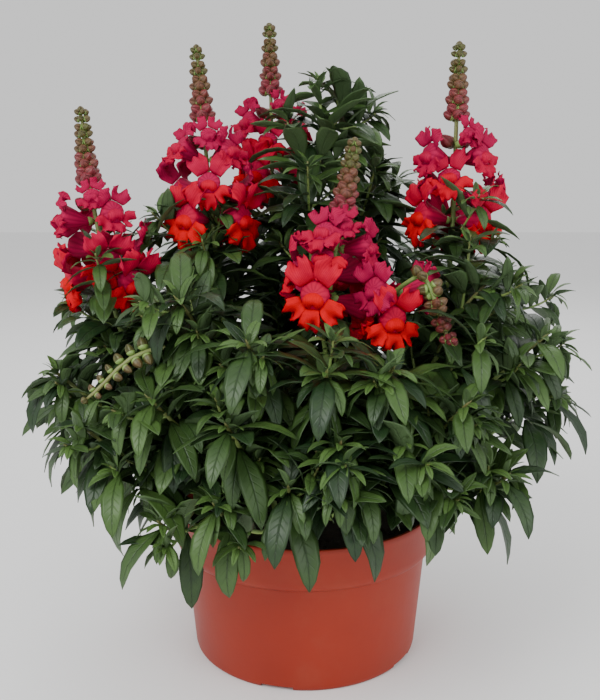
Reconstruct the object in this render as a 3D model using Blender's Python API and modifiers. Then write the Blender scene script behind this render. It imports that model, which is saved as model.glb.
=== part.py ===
"""Potted snapdragon: a low terracotta-coloured pot, its soil, six flowering stems and the leafy shoots.

Metres, +Z up. The origin is at the centre of the pot's underside, on the surface that the pot stands on.
The plant grows face by face: each leaf, bud and side shoot is drawn out of a short band of its stem.
"""

import math
import random
from collections import namedtuple

import bmesh
import bpy
from mathutils import Matrix, Vector
from mathutils.bvhtree import BVHTree
from mathutils.geometry import interpolate_bezier

MM = 0.001
SEED = 7
GAP = 0.3 * MM
PART = "potted_snapdragon"

# Pot
RIM_RADIUS = 100 * MM
POT_HEIGHT = 113 * MM
BODY_TOP_RADIUS = 93.3 * MM
BASE_RADIUS = 86.3 * MM
BAND_FOOT = 81 * MM
LIP_STEP = 1.2 * MM
LIP_ROUND = 0.5 * MM
BAND_TAPER = 0.6 * MM
BAND_CURVE = (6 * MM, 2.6 * MM, 1.5 * MM)
WALL = 2.6 * MM
FLOOR_TOP = 6 * MM
FOOT_RING_WIDTH = 5 * MM
FOOT_RING_DEPTH = 3 * MM
FOOT_BEVEL = (1.2 * MM, 4 * MM, 0.3 * MM)
FOOT_DRAFT = 1 * MM
PAD_RADIUS = 16 * MM
POT_STEPS = 28
SHARP_ANGLE = math.radians(35)
MERGE_DISTANCE = 0.02 * MM
DRAIN_RADIUS = 4.5 * MM
DRAIN_CIRCLE = 55 * MM
DRAIN_COUNT = 4
DRAIN_SIDES = 8
NOTCH_COUNT = 5
NOTCH_WIDTH = 24 * MM
NOTCH_BEARING = math.radians(-104)
NOTCH_DEPTH = 14 * MM
NOTCH_SET_IN = 2 * MM
NOTCH_HALF_HEIGHT = 2.7 * MM

# Soil
SOIL_EDGE = 96 * MM
SOIL_CROWN = 4 * MM
SHOULDER_SHARE = 0.55
SHOULDER_HEIGHT = 0.8
HOLE_DEPTH = 14 * MM
HOLE_SIDES = 6

# Room kept round the pot by leaves
LEAF_CLEARANCE = 2 * MM
GROUND_CLEARANCE = 4 * MM
RIM_INSET = 6 * MM

# Stems
MAIN_RADIUS = 2.3 * MM
TOP_RADIUS = 1.2 * MM
SIDE_RADIUS = 1.5 * MM
SIDE_TIP_RADIUS = 1.0 * MM
BAND_HALF = 1.4 * MM
BEND = 0.42
LONGEST_STEP = 46 * MM
LAST_STEP = 5 * MM
FOOT_LENGTH = 4 * MM
FREE_HEIGHT = 3 * MM
FOOT_LEAN = 0.35
LEAFY_SHARE = 0.8
POINT_LENGTH = 5 * MM
FIRST_FORK = 0.24
FORK_STEP = 0.10
SHOOT_TRIES = 24
SHOOT_STRAY = 0.8 * MM
SHOOT_TURN = 20
SHOOT_SEAT = 0.2 * MM
SHOOT_STEP_OUT = 1.5 * MM
SHOOT_AIM = 0.8
SHOOT_LIFT = 0.3
WIDEST_BEND_TRY = 3
BEND_STRAY = 0.12
TEST_FROM = 2 * MM

# Leaves
LEAF_HALF_THICKNESS = 0.45 * MM
LEAF_SLENDER = 0.33
LEAF_TRIES = 14
LEAF_TEST_MARGIN = GAP + 0.1 * MM
LEAN_STRAY = 8
TWIST_STRAY = 16
SWAY_STRAY = 18
TRY_SPREAD = 0.25
DROOP_RANGE = (35, 75)
SIZE_RANGE = (0.9, 1.08)
TRY_SHRINK = 0.022
WHORL_TWIST = 22
ROOT_FACE_SHARE = 0.85

# Flower heads
BUD_RINGS = 5
CORE_RADIUS = 3.6 * MM
CORE_SIDES = 8
PASSAGE_RADIUS = 2.5 * MM
BLOOM_REACH = 23 * MM
PETAL_REACH = 14 * MM
PETAL_HALF_THICKNESS = 0.5 * MM
BLOOM_BAND_HALF = 1.5 * MM
BLOOM_TRIES = 20
BLOOM_TEST_MARGIN = 0.2 * MM
BLOOM_STRAY = 5
BLOOM_TRY_SPREAD = 0.4
BLOOM_SIZE = 1.05
BLOOM_TRY_SHRINK = 0.013
PINK_BUD_SHARES = (0.86, 0.95)
PINK_BUD = (12 * MM, 3.6 * MM)
PINK_BUD_LESS = (2 * MM, 0.5 * MM)
PINK_BUD_RISE = 0.8
HEAD_CLEARANCE = (6 * MM, 5 * MM)

# Green buds: how far they reach and their half width, at the foot of the tip and how much less at its end
GREEN_BUD = (9.5 * MM, 3.5 * MM)
GREEN_BUD_LESS = (5 * MM, 1.7 * MM)
GREEN_BUD_RISE = 0.3
GREEN_BUD_START = 0.6
BUD_BELLY = 0.45
BUD_TEST_NARROW = 0.6

UP = Vector((0, 0, 1))

FlowerStem = namedtuple("FlowerStem", "foot zone_start zone_end tip turn tiers buds")
Bush = namedtuple("Bush", "foot tips leaves")
Tier = namedtuple("Tier", "share bearings size rise")
Whorl = namedtuple("Whorl", "below leaves length angle")

# The blooms of a spike, tier by tier from the foot of its head: bearings are seen from above, in degrees.
SPIKE_TIERS = (
    Tier(0.08, (215, 325, 85), 1.00, 4),
    Tier(0.36, (262, 18, 150), 1.00, 12),
    Tier(0.70, (200, 320), 0.86, 26),
)
DROOPING_TIERS = (
    Tier(0.12, (215, 300, 80), 0.95, 0),
    Tier(0.68, (248, 20, 140), 0.86, 20),
)

# Flowering stems, in millimetres: the foot in the soil, the straight stretch that blooms, and the tip.
FLOWER_STEMS = {
    "left": FlowerStem((-64, 0), (-141, -24, 286), (-152, -16, 346), (-158, -10, 403), 0, SPIKE_TIERS, True),
    "left_centre": FlowerStem((-24, 12), (-68, 3, 322), (-74, 12, 390), (-79, 20, 448), 0, SPIKE_TIERS, True),
    "back": FlowerStem((-8, 38), (-26, 72, 352), (-27, 77, 412), (-28, 80, 471), 20, SPIKE_TIERS, True),
    "right": FlowerStem((44, 14), (108, 2, 322), (109, 6, 390), (110, 10, 449), 0, SPIKE_TIERS, True),
    "front": FlowerStem((10, -24), (14, -68, 276), (23, -59, 328), (32, -50, 381), 35, SPIKE_TIERS, True),
    "drooping": FlowerStem(
        (30, -12), (46, -62, 268), (66, -74, 290), (94, -96, 254), 0, DROOPING_TIERS, False
    ),
}

# Leaves of a shoot: millimetres below its tip, how many, their length, and their angle from the stem.
FULL_SHOOT = (Whorl(1.4, 4, 28, 40), Whorl(4.2, 4, 46, 66), Whorl(26, 4, 53, 80))
PLAIN_SHOOT = (Whorl(4, 4, 40, 55), Whorl(22, 2, 56, 78))
YOUNG_LEAVES = (Whorl(14, 2, 30, 60), Whorl(34, 2, 40, 70))
FLOWER_STEM_LEAVES = (Whorl(6, 2, 42, 70), Whorl(24, 2, 54, 80), Whorl(46, 2, 60, 86))

# Leafy stems, in millimetres: the foot in the soil, and the tips of the main shoot and of its side shoots.
BUSHES = {
    "left": Bush((-68, -24), ((-172, -62, 228), (-146, -104, 202), (-182, -10, 196)), FULL_SHOOT),
    "front_left": Bush((-42, -48), ((-98, -126, 226), (-122, -122, 178), (-92, -133, 146)), FULL_SHOOT),
    "front_left_centre": Bush((-18, -66), ((-48, -147, 214), (-56, -149, 164)), FULL_SHOOT),
    "front_centre_left": Bush((-2, -46), ((-36, -132, 262), (-11, -156, 178)), FULL_SHOOT),
    "front_centre": Bush((17, -68), ((12, -142, 246), (20, -157, 206), (32, -150, 180)), FULL_SHOOT),
    "front_right_centre": Bush((38, -54), ((52, -137, 247), (60, -148, 204), (80, -136, 180)), FULL_SHOOT),
    "front_right": Bush((60, -34), ((100, -126, 222), (112, -104, 258), (128, -118, 172)), FULL_SHOOT),
    "right": Bush((68, -16), ((162, -62, 252), (172, -58, 210), (182, 0, 202)), FULL_SHOOT),
    "right_top": Bush((62, 0), ((134, -18, 314), (122, -52, 286), (158, 46, 262)), FULL_SHOOT),
    "top": Bush((14, 22), ((30, 28, 410), (58, 58, 356)), FULL_SHOOT),
    "left_top": Bush((-44, 12), ((-112, -12, 318), (-82, -100, 284), (-150, 44, 270)), FULL_SHOOT),
    "back_left": Bush(
        (-42, 46), ((-92, 92, 306), (-162, 78, 206), (-118, 122, 222), (-124, 104, 156)), PLAIN_SHOOT
    ),
    "back": Bush((-10, 66), ((-32, 132, 290), (-50, 156, 214), (2, 166, 172), (-62, 140, 150)), PLAIN_SHOOT),
    "back_right": Bush((28, 58), ((38, 116, 318), (48, 158, 226), (78, 142, 166)), PLAIN_SHOOT),
    "right_back": Bush(
        (60, 30), ((106, 96, 292), (164, 78, 214), (124, 124, 216), (128, 102, 154)), PLAIN_SHOOT
    ),
}

# The young raceme at the left, in millimetres: its foot, its highest bend and its tip.
YOUNG_RACEME_FOOT = (-44, -30)
YOUNG_RACEME_BEND = (-100, -104, 252)
YOUNG_RACEME_TIP = (-138, -116, 224)
YOUNG_RACEME_CREST = 20 * MM
YOUNG_BUD_RINGS = 6
YOUNG_BUD_START = 0.4

MATERIALS = {
    "pot_terracotta_plastic": ((0.380, 0.055, 0.025, 1), 0.42),
    "soil_dark_peat": ((0.020, 0.014, 0.010, 1), 0.95),
    "leaf_deep_green": ((0.030, 0.075, 0.030, 1), 0.48),
    "young_pale_green": ((0.190, 0.300, 0.090, 1), 0.55),
    "bloom_scarlet": ((0.700, 0.012, 0.020, 1), 0.60),
}


def clear_scene():
    for old in list(bpy.data.objects):
        bpy.data.objects.remove(old, do_unlink=True)


def new_collection(name, helper=False):
    collection = bpy.data.collections.new(name)
    collection.hide_render = helper
    bpy.context.scene.collection.children.link(collection)
    return collection


def new_material(owner, finish):
    """A Principled material of its own for one object."""
    colour, roughness = MATERIALS[finish]
    material = bpy.data.materials.new(owner + "_" + finish)
    material.use_nodes = True
    shader = material.node_tree.nodes["Principled BSDF"]
    shader.inputs["Base Color"].default_value = colour
    shader.inputs["Roughness"].default_value = roughness
    shader.inputs["Metallic"].default_value = 0
    material.diffuse_color = colour
    return material


def object_from(bm, name, collection):
    """Store a bmesh as a mesh object of the collection."""
    mesh = bpy.data.meshes.new(name)
    bm.to_mesh(mesh)
    bm.free()
    made = bpy.data.objects.new(name, mesh)
    collection.objects.link(made)
    return made


def place_part(made, root, finish):
    """Give a finished part its own material and hang it on the plant's origin."""
    made.data.materials.append(new_material(made.name, finish))
    made.parent = root


def as_cutter(made):
    made.hide_render = True
    made.display_type = "WIRE"
    return made


def cut_away(target, cutters):
    """Apply the target's modifiers and one Boolean difference of all the cutters, then remove these."""
    modifier = target.modifiers.new("cuts", "BOOLEAN")
    modifier.operation = "DIFFERENCE"
    modifier.operand_type = "COLLECTION"
    modifier.collection = cutters
    graph = bpy.context.evaluated_depsgraph_get()
    cut = bpy.data.meshes.new_from_object(target.evaluated_get(graph), depsgraph=graph)
    target.modifiers.clear()
    before = target.data
    target.data = cut
    bpy.data.meshes.remove(before)
    for used in list(cutters.objects):
        bpy.data.objects.remove(used, do_unlink=True)
    bpy.data.collections.remove(cutters)
    cut.shade_smooth()
    cut.set_sharp_from_angle(angle=SHARP_ANGLE)


# Ways and places


def to_point(place):
    return Vector(place) * MM


def heading(bearing, rise):
    """The unit vector at a bearing seen from above and a rise over the horizon, both in degrees."""
    around, over = math.radians(bearing), math.radians(rise)
    return Vector((math.cos(around) * math.cos(over), math.sin(around) * math.cos(over), math.sin(over)))


def outward_way(point, lift):
    """Out from the pot's axis at the point, with a share of lift."""
    flat = Vector((point.x, point.y, 0))
    return (flat.normalized() + UP * lift).normalized()


def arc(start, start_way, end, end_way, count=20, bend=BEND):
    """Points of a smooth bend that leaves the start and reaches the end in the two given ways."""
    reach = (end - start).length * bend
    return interpolate_bezier(start, start + start_way * reach, end - end_way * reach, end, count)


class Route:
    """A stem's centre line, read by the distance from its start."""

    def __init__(self, points):
        self.points = [points[0]]
        self.marks = [0.0]
        for point in points[1:]:
            step = (point - self.points[-1]).length
            if step > 1e-7:
                self.points.append(point)
                self.marks.append(self.marks[-1] + step)
        self.length = self.marks[-1]

    def at(self, mark):
        """The position and the unit direction at a distance from the start."""
        mark = min(max(mark, 0.0), self.length)
        last = len(self.marks) - 2
        i = next((k for k in range(last + 1) if self.marks[k + 1] >= mark), last)
        start, end = self.points[i], self.points[i + 1]
        share = (mark - self.marks[i]) / (self.marks[i + 1] - self.marks[i])
        return start.lerp(end, share), (end - start).normalized()


# Growing by extrusion


def section(centre, side, up, half_width, half_height):
    """The four corners of a cross-section, anticlockwise about side x up."""
    right, top = side * half_width, up * half_height
    return [centre - right - top, centre + right - top, centre + right + top, centre - right + top]


def draw_out(bm, face, corners):
    """Extrude the face onto the corners, and give the new end face and the side faces."""
    end = bmesh.ops.extrude_discrete_faces(bm, faces=[face])["faces"][0]
    verts = [loop.vert for loop in end.loops]
    count = len(verts)

    def stray(shift):
        return sum((verts[i].co - corners[(i + shift) % count]).length for i in range(count))

    shift = min(range(count), key=stray)
    for i, vert in enumerate(verts):
        vert.co = corners[(i + shift) % count]
    sides = [other for edge in end.edges for other in edge.link_faces if other is not end]
    return end, sides


def draw_to_point(bm, face, tip):
    end = bmesh.ops.extrude_discrete_faces(bm, faces=[face])["faces"][0]
    bmesh.ops.pointmerge(bm, verts=list(end.verts), merge_co=tip)


def draw_to_edge(bm, face, start, finish):
    """Extrude the face and pinch its end into one edge."""
    end = bmesh.ops.extrude_discrete_faces(bm, faces=[face])["faces"][0]
    verts = list(end.verts)
    for corner in (start, finish):
        verts.sort(key=lambda vert: (vert.co - corner).length)
        near, verts = verts[:2], verts[2:]
        bmesh.ops.pointmerge(bm, verts=near, merge_co=corner)


def middle(face):
    return face.calc_center_median()


def root_half_width(face):
    """About half the width of the face that a blade or bud grows from."""
    return ROOT_FACE_SHARE * max((vert.co - middle(face)).length for vert in face.verts)


class Space:
    """Keeps what is already grown, so that a new blade is only grown where it meets nothing."""

    def __init__(self):
        self.taken = []

    def add(self, verts, polygons):
        low = Vector([min(v[i] for v in verts) for i in range(3)])
        high = Vector([max(v[i] for v in verts) for i in range(3)])
        self.taken.append((low, high, BVHTree.FromPolygons(verts, polygons)))

    def add_mesh(self, mesh):
        self.add([v.co.copy() for v in mesh.vertices], [list(p.vertices) for p in mesh.polygons])

    def is_free(self, verts, polygons):
        low = [min(v[i] for v in verts) for i in range(3)]
        high = [max(v[i] for v in verts) for i in range(3)]
        tree = None
        for other_low, other_high, other in self.taken:
            if any(low[i] > other_high[i] or high[i] < other_low[i] for i in range(3)):
                continue
            tree = tree or BVHTree.FromPolygons(verts, polygons)
            if tree.overlap(other):
                return False
        return True


def over_pot(point):
    """True where the point is clear of the pot and above the soil."""
    radius = math.hypot(point.x, point.y)
    if radius > RIM_RADIUS + LEAF_CLEARANCE:
        return point.z > GROUND_CLEARANCE
    inside = radius < RIM_RADIUS - RIM_INSET
    return point.z > LEAF_CLEARANCE + (SOIL_EDGE + SOIL_CROWN if inside else POT_HEIGHT)


def loft_polygons(rings):
    """The polygons of a closed loft over rings of four, the last of them a point if it has one corner."""
    polygons = [[3, 2, 1, 0]]
    start = 0
    for ring in rings[1:]:
        above = start + 4
        for k in range(4):
            after = (k + 1) % 4
            if len(ring) == 1:
                polygons.append([start + k, start + after, above])
            else:
                polygons.append([start + k, start + after, above + after, above + k])
        start = above
    if len(rings[-1]) == 4:
        polygons.append([start, start + 1, start + 2, start + 3])
    return polygons


class Blade:
    """A lanceolate leaf as a few cross-sections along a centre line that arches over."""

    SHARES = (0.42, 0.34, 0.24)
    TURNS = (0.12, 0.55, 0.95)
    WIDTHS = (1.0, 0.78)
    UPRIGHT = 0.05
    TEST_START = 0.06

    def __init__(self, face, way, length, droop, sway):
        self.root = middle(face)
        self.root_half = root_half_width(face)
        flat = way.cross(UP)
        side = flat.normalized() if flat.length > self.UPRIGHT else Vector((1, 0, 0))
        self.centres = []
        self.frames = []
        centre = self.root
        for share, turn in zip(self.SHARES, self.TURNS):
            along = Matrix.Rotation(-droop * turn, 3, side) @ way
            along = Matrix.Rotation(sway * turn, 3, UP) @ along
            across = (side - along * side.dot(along)).normalized()
            centre = centre + along * length * share
            self.centres.append(centre)
            self.frames.append((across, across.cross(along) * -1, along))
        self.half_width = 0.5 * length * LEAF_SLENDER

    def rings(self, grow=0.0):
        found = []
        for i, width in enumerate(self.WIDTHS):
            across, over, _ = self.frames[i]
            half = self.half_width * width + grow
            found.append(section(self.centres[i], across, over, half, LEAF_HALF_THICKNESS + grow))
        return found

    def body(self, grow):
        """A closed body of the blade, for the crossing test, starting just off its stem."""
        across, over, along = self.frames[0]
        start = self.root.lerp(self.centres[0], self.TEST_START)
        rings = [section(start, across, over, self.root_half + grow, BAND_HALF + grow)] + self.rings(grow)
        rings.append([self.centres[-1] + self.frames[-1][2] * grow])
        verts = [corner for ring in rings for corner in ring]
        return verts, loft_polygons(rings)


def grow_leaf(bm, face, space, whorl, twist, rng):
    """Draw a leaf out of a stem's side face, in the first of a few postures where it meets nothing."""
    out = face.normal.copy()
    steps = [edge.verts[0].co - edge.verts[1].co for edge in face.edges]
    stem_way = max(steps, key=lambda step: abs(step.z)).normalized()
    if stem_way.z < 0:
        stem_way = -stem_way
    for attempt in range(LEAF_TRIES):
        spread = 1 + attempt * TRY_SPREAD
        lean = math.radians(whorl.angle + rng.uniform(-LEAN_STRAY, LEAN_STRAY) * spread)
        way = stem_way * math.cos(lean) + out * math.sin(lean)
        turn = math.radians(twist + rng.uniform(-TWIST_STRAY, TWIST_STRAY) * spread)
        way = Matrix.Rotation(turn, 3, stem_way) @ way
        droop = math.radians(rng.uniform(*DROOP_RANGE))
        sway = math.radians(rng.uniform(-SWAY_STRAY, SWAY_STRAY) * spread)
        size = whorl.length * MM * (1 - TRY_SHRINK * attempt) * rng.uniform(*SIZE_RANGE)
        blade = Blade(face, way.normalized(), size, droop, sway)
        verts, polygons = blade.body(LEAF_TEST_MARGIN)
        if all(over_pot(vert) for vert in verts) and space.is_free(verts, polygons):
            end = face
            for ring in blade.rings():
                end, _ = draw_out(bm, end, ring)
            draw_to_point(bm, end, blade.centres[-1])
            space.add(*blade.body(0))
            return


def grow_bud(bm, face, space, reach, half_width, rise):
    """Draw a bud out of a stem's side face, where it meets nothing."""
    root = middle(face)
    out = (face.normal + UP * rise).normalized()
    side = out.cross(UP).normalized()
    over = out.cross(side)
    tip = root + out * reach
    belly = section(root + out * reach * BUD_BELLY, side, over, half_width, half_width)
    thick = section(root + out * reach * BUD_BELLY, side, over, half_width + GAP, half_width + GAP)
    narrow = root_half_width(face) * BUD_TEST_NARROW
    start = section(root + face.normal * GAP, side, face.normal.cross(side), narrow, narrow)
    if space.is_free([*start, *thick, tip + out * GAP], loft_polygons([start, thick, [tip]])):
        end, _ = draw_out(bm, face, belly)
        draw_to_point(bm, end, tip)
        space.add([*start, *belly, tip], loft_polygons([start, belly, [tip]]))


class Stem:
    """A four-sided stem along a route, with a short band wherever something grows from it."""

    def __init__(self, route, radii, bands, knots=(), side=None):
        self.route = route
        self.radii = radii
        self.marks = self.ring_marks(bands, knots)
        self.side = side or Vector((1, 0, 0))
        self.bands = []
        self.end = None

    def ring_marks(self, bands, knots):
        """Each ring's distance along the stem, with the band that it closes if it closes one."""
        closing = {round(band + BAND_HALF, 6): band for band in bands}
        fixed = {round(mark, 6) for mark in knots}
        fixed |= set(closing) | {round(band - BAND_HALF, 6) for band in bands}
        if self.route.length - max(fixed) > LAST_STEP:
            fixed.add(round(self.route.length, 6))
        ends = [0.0, *sorted(fixed)]
        for start, end in zip(ends, ends[1:]):
            extra = int((end - start) / LONGEST_STEP)
            fixed |= {round(start + (end - start) * (k + 1) / (extra + 1), 6) for k in range(extra)}
        return [(mark, closing.get(mark)) for mark in sorted(fixed)]

    def radius(self, mark):
        start, end = self.radii
        return start + (end - start) * mark / self.route.length

    def rings(self, spread=0.0):
        """Every ring's corners, its side carried along without twist."""
        side = self.side
        found = []
        for mark, _ in self.marks:
            centre, way = self.route.at(mark)
            side = (side - way * side.dot(way)).normalized()
            reach = self.radius(mark) + spread
            found.append(section(centre, side, way.cross(side), reach, reach))
        return found

    def body(self, spread, start=0.0):
        """A closed body of the stem past a distance, for the crossing test."""
        rings = [ring for (mark, _), ring in zip(self.marks, self.rings(spread)) if mark >= start]
        return [corner for ring in rings for corner in ring], loft_polygons(rings)

    def grow(self, bm, face, tip):
        """Draw the stem out of the face, ring by ring, and close it with a point."""
        for (_, band), ring in zip(self.marks, self.rings()):
            face, sides = draw_out(bm, face, ring)
            if band is not None:
                self.bands.append((band, sides))
        draw_to_point(bm, face, tip)


# Pot and soil


def pot_profile():
    """The pot's closed section from the axis round its outer side and back down its inner one."""
    band_out = RIM_RADIUS - BODY_TOP_RADIUS
    inner_band = RIM_RADIUS - WALL
    inner_top = BODY_TOP_RADIUS - WALL
    inner_base = BASE_RADIUS - WALL
    ring_in = BASE_RADIUS - FOOT_RING_WIDTH
    curve_high, curve_out, curve_low = BAND_CURVE
    foot_in, foot_high, foot_out = FOOT_BEVEL
    return [
        (0, FLOOR_TOP),
        (inner_base, FLOOR_TOP),
        (inner_top, BAND_FOOT + WALL),
        (inner_band - LIP_STEP, BAND_FOOT + WALL + band_out),
        (inner_band, POT_HEIGHT),
        (RIM_RADIUS - LIP_ROUND, POT_HEIGHT),
        (RIM_RADIUS, POT_HEIGHT - LIP_STEP),
        (RIM_RADIUS - BAND_TAPER, BAND_FOOT + curve_high),
        (RIM_RADIUS - curve_out, BAND_FOOT + curve_low),
        (BODY_TOP_RADIUS, BAND_FOOT),
        (BASE_RADIUS + foot_out, foot_high),
        (BASE_RADIUS - foot_in, 0),
        (ring_in, 0),
        (ring_in - FOOT_DRAFT, FOOT_RING_DEPTH),
        (PAD_RADIUS + FOOT_DRAFT, FOOT_RING_DEPTH),
        (PAD_RADIUS, 0),
        (0, 0),
    ]


def turned(name, profile, collection):
    """A solid turned about the vertical axis from a profile in the XZ plane, given as radius and height."""
    bm = bmesh.new()
    verts = [bm.verts.new((radius, 0, height)) for radius, height in profile]
    for ends in zip(verts, verts[1:]):
        bm.edges.new(ends)
    made = object_from(bm, name, collection)
    screw = made.modifiers.new("turn", "SCREW")
    screw.axis = "Z"
    screw.steps = POT_STEPS
    screw.render_steps = POT_STEPS
    screw.use_merge_vertices = True
    screw.merge_threshold = MERGE_DISTANCE
    return made


def cylinder_cutter(collection, radius, low, high, x, y, sides):
    bm = bmesh.new()
    place = Matrix.Translation((x, y, (low + high) / 2))
    bmesh.ops.create_cone(
        bm, cap_ends=True, segments=sides, radius1=radius, radius2=radius, depth=high - low, matrix=place
    )
    return as_cutter(object_from(bm, "cutter", collection))


def make_pot(parts, root):
    pot = turned("pot", pot_profile(), parts)
    cutters = new_collection("pot_cutters", helper=True)
    for k in range(DRAIN_COUNT):
        around = math.tau * (k + 0.5) / DRAIN_COUNT
        x, y = DRAIN_CIRCLE * math.cos(around), DRAIN_CIRCLE * math.sin(around)
        cylinder_cutter(cutters, DRAIN_RADIUS, -MM, FLOOR_TOP + MM, x, y, DRAIN_SIDES)
    for k in range(NOTCH_COUNT):
        around = NOTCH_BEARING + math.tau * k / NOTCH_COUNT
        bm = bmesh.new()
        size = Matrix.Diagonal((NOTCH_DEPTH, NOTCH_WIDTH, 2 * NOTCH_HALF_HEIGHT, 1))
        spot = Matrix.Translation((BASE_RADIUS - NOTCH_SET_IN, 0, 0))
        bmesh.ops.create_cube(bm, size=1, matrix=Matrix.Rotation(around, 4, "Z") @ spot @ size)
        as_cutter(object_from(bm, "cutter", cutters))
    cut_away(pot, cutters)
    place_part(pot, root, "pot_terracotta_plastic")


def foot_places():
    """Where every stem stands in the soil."""
    feet = [stem.foot for stem in FLOWER_STEMS.values()]
    feet += [bush.foot for bush in BUSHES.values()]
    return feet + [YOUNG_RACEME_FOOT]


def make_soil(parts, root):
    """Soil that fills the pot, a little crowned, with a plain hole for each stem."""
    inner_base = BASE_RADIUS - WALL - GAP
    inner_top = BODY_TOP_RADIUS - WALL - GAP
    band_low = BAND_FOOT + WALL + RIM_RADIUS - BODY_TOP_RADIUS
    inner_band = RIM_RADIUS - WALL - LIP_STEP - GAP
    profile = [
        (0, SOIL_EDGE + SOIL_CROWN),
        (SHOULDER_SHARE * RIM_RADIUS, SOIL_EDGE + SOIL_CROWN * SHOULDER_HEIGHT),
        (inner_band, SOIL_EDGE),
        (inner_band, band_low),
        (inner_top, BAND_FOOT + WALL),
        (inner_base, FLOOR_TOP + GAP),
        (0, FLOOR_TOP + GAP),
    ]
    soil = turned("soil", profile, parts)
    cutters = new_collection("soil_cutters", helper=True)
    radius = (MAIN_RADIUS * math.sqrt(2) + GAP) / math.cos(math.pi / HOLE_SIDES)
    low = SOIL_EDGE - HOLE_DEPTH
    for x, y in foot_places():
        cylinder_cutter(cutters, radius, low, POT_HEIGHT, x * MM, y * MM, HOLE_SIDES)
    cut_away(soil, cutters)
    place_part(soil, root, "soil_dark_peat")


# Flower heads


class Bloom:
    """One bloom: a bellied four-sided tube, a raised palate, two upper petals and two lower ones."""

    TUBE = ((0.30, 2.9), (0.72, 6.0), (0.92, 7.8))
    PALATE_REACH = 1.14
    PALATE_DROP = 1.5
    PETAL_LENGTHS = {True: 1.1, False: 0.92}
    PETAL_FLARE = 0.3
    PETAL_CURL = {True: 0.45, False: 0.75}
    PETAL_HALF_WIDTH = 6.8
    KNEE_SHARE = 0.55
    EDGE_SHARE = 0.5
    EDGE_WIDTH = 0.62
    TEST_START = 0.08
    TEST_NARROW = 0.6

    def __init__(self, root, way, size):
        side = UP.cross(way).normalized()
        up = way.cross(side)
        reach = BLOOM_REACH * size
        self.root, self.way = root, way
        self.tube = []
        for share, radius in self.TUBE:
            centre, spread = root + way * reach * share, radius * MM * size
            right, top = side * spread, up * spread
            self.tube.append([centre + right, centre + top, centre - right, centre - top])
        self.palate = root + way * reach * self.PALATE_REACH - up * self.PALATE_DROP * MM
        self.petals = [self.petal(k, up, size) for k in range(4)]

    def petal(self, k, up, size):
        """The root, the knee section and the ends of the outer edge of the petal past one mouth corner."""
        inner, outer = self.tube[-2], self.tube[-1]
        corners = [inner[k], inner[(k + 1) % 4], outer[k], outer[(k + 1) % 4]]
        root = sum(corners, Vector()) / 4
        out = root - self.root
        out = (out - self.way * out.dot(self.way)).normalized()
        upper = out.dot(up) > 0
        reach = PETAL_REACH * size * self.PETAL_LENGTHS[upper]
        first = (out + self.way * self.PETAL_FLARE).normalized()
        last = (out - self.way * self.PETAL_CURL[upper]).normalized()
        across = self.way.cross(out)
        width = self.PETAL_HALF_WIDTH * MM * size
        knee = root + first * reach * self.KNEE_SHARE
        tip = knee + last * reach * self.EDGE_SHARE
        half_edge = across * width * self.EDGE_WIDTH
        ring = section(knee, across, first.cross(across), width, PETAL_HALF_THICKNESS)
        return root, ring, tip - half_edge, tip + half_edge

    def body(self, spread):
        """The bloom's faces for the crossing test, a little thicker than they are."""
        start = self.root.lerp(self.palate, self.TEST_START)
        reaches = [corner - self.root for corner in self.tube[0]]
        first_ring = [start + (out - self.way * out.dot(self.way)) * self.TEST_NARROW for out in reaches]
        rings = [first_ring] + self.tube + [[self.palate]]
        verts = [corner for ring in rings for corner in ring]
        polygons = loft_polygons(rings)
        for root, knee, start, end in self.petals:
            centre = sum(knee, Vector()) / 4
            thick = [corner + (corner - centre).normalized() * spread for corner in knee]
            first = len(verts)
            verts += [root] + thick + [start, end]
            polygons += [[first, first + k + 1, first + (k + 1) % 4 + 1] for k in range(4)]
            for low in ((first + 1, first + 2), (first + 4, first + 3)):
                polygons.append([*low, first + 6, first + 5])
        return verts, polygons

    def grow(self, bm, face):
        for ring in self.tube:
            face, sides = draw_out(bm, face, ring)
        draw_to_point(bm, face, self.palate)
        for root, knee, start, end in self.petals:
            side = min(sides, key=lambda other: (middle(other) - root).length)
            sides.remove(side)
            blade, _ = draw_out(bm, side, knee)
            draw_to_edge(bm, blade, start, end)


def core_ring(centre, turn):
    """The corners of the core's section at a point, with the matrix that turns a flat ring across its way."""
    step = math.tau / CORE_SIDES
    flat = [Vector((math.cos(step * k), math.sin(step * k), 0)) * CORE_RADIUS for k in range(CORE_SIDES)]
    return [centre + turn @ corner for corner in flat]


def core_with_bands(low, high, marks):
    """A core from low to high with a passage in it, and the side faces of a short band at each mark."""
    way = (high - low).normalized()
    turn = UP.rotation_difference(way).to_matrix()
    place = Matrix.Translation(low) @ turn.to_4x4()
    bm = bmesh.new()
    bmesh.ops.create_circle(bm, cap_ends=True, segments=CORE_SIDES, radius=CORE_RADIUS, matrix=place)
    bm.faces.ensure_lookup_table()
    face = bm.faces[0]
    if face.normal.dot(way) < 0:
        face.normal_flip()
    face, sides = draw_out(bm, face, core_ring(low + way * MM, turn))
    rim = [edge for side in sides for edge in side.edges if edge.is_boundary]
    bottom = bmesh.ops.contextual_create(bm, geom=rim)["faces"][0]
    bands = []
    for mark in marks:
        face, _ = draw_out(bm, face, core_ring(low + way * (mark - BLOOM_BAND_HALF), turn))
        face, sides = draw_out(bm, face, core_ring(low + way * (mark + BLOOM_BAND_HALF), turn))
        bands.append(sides)
    face, _ = draw_out(bm, face, core_ring(high, turn))
    open_passage(bm, bottom, face)
    return bm, bands


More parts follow.
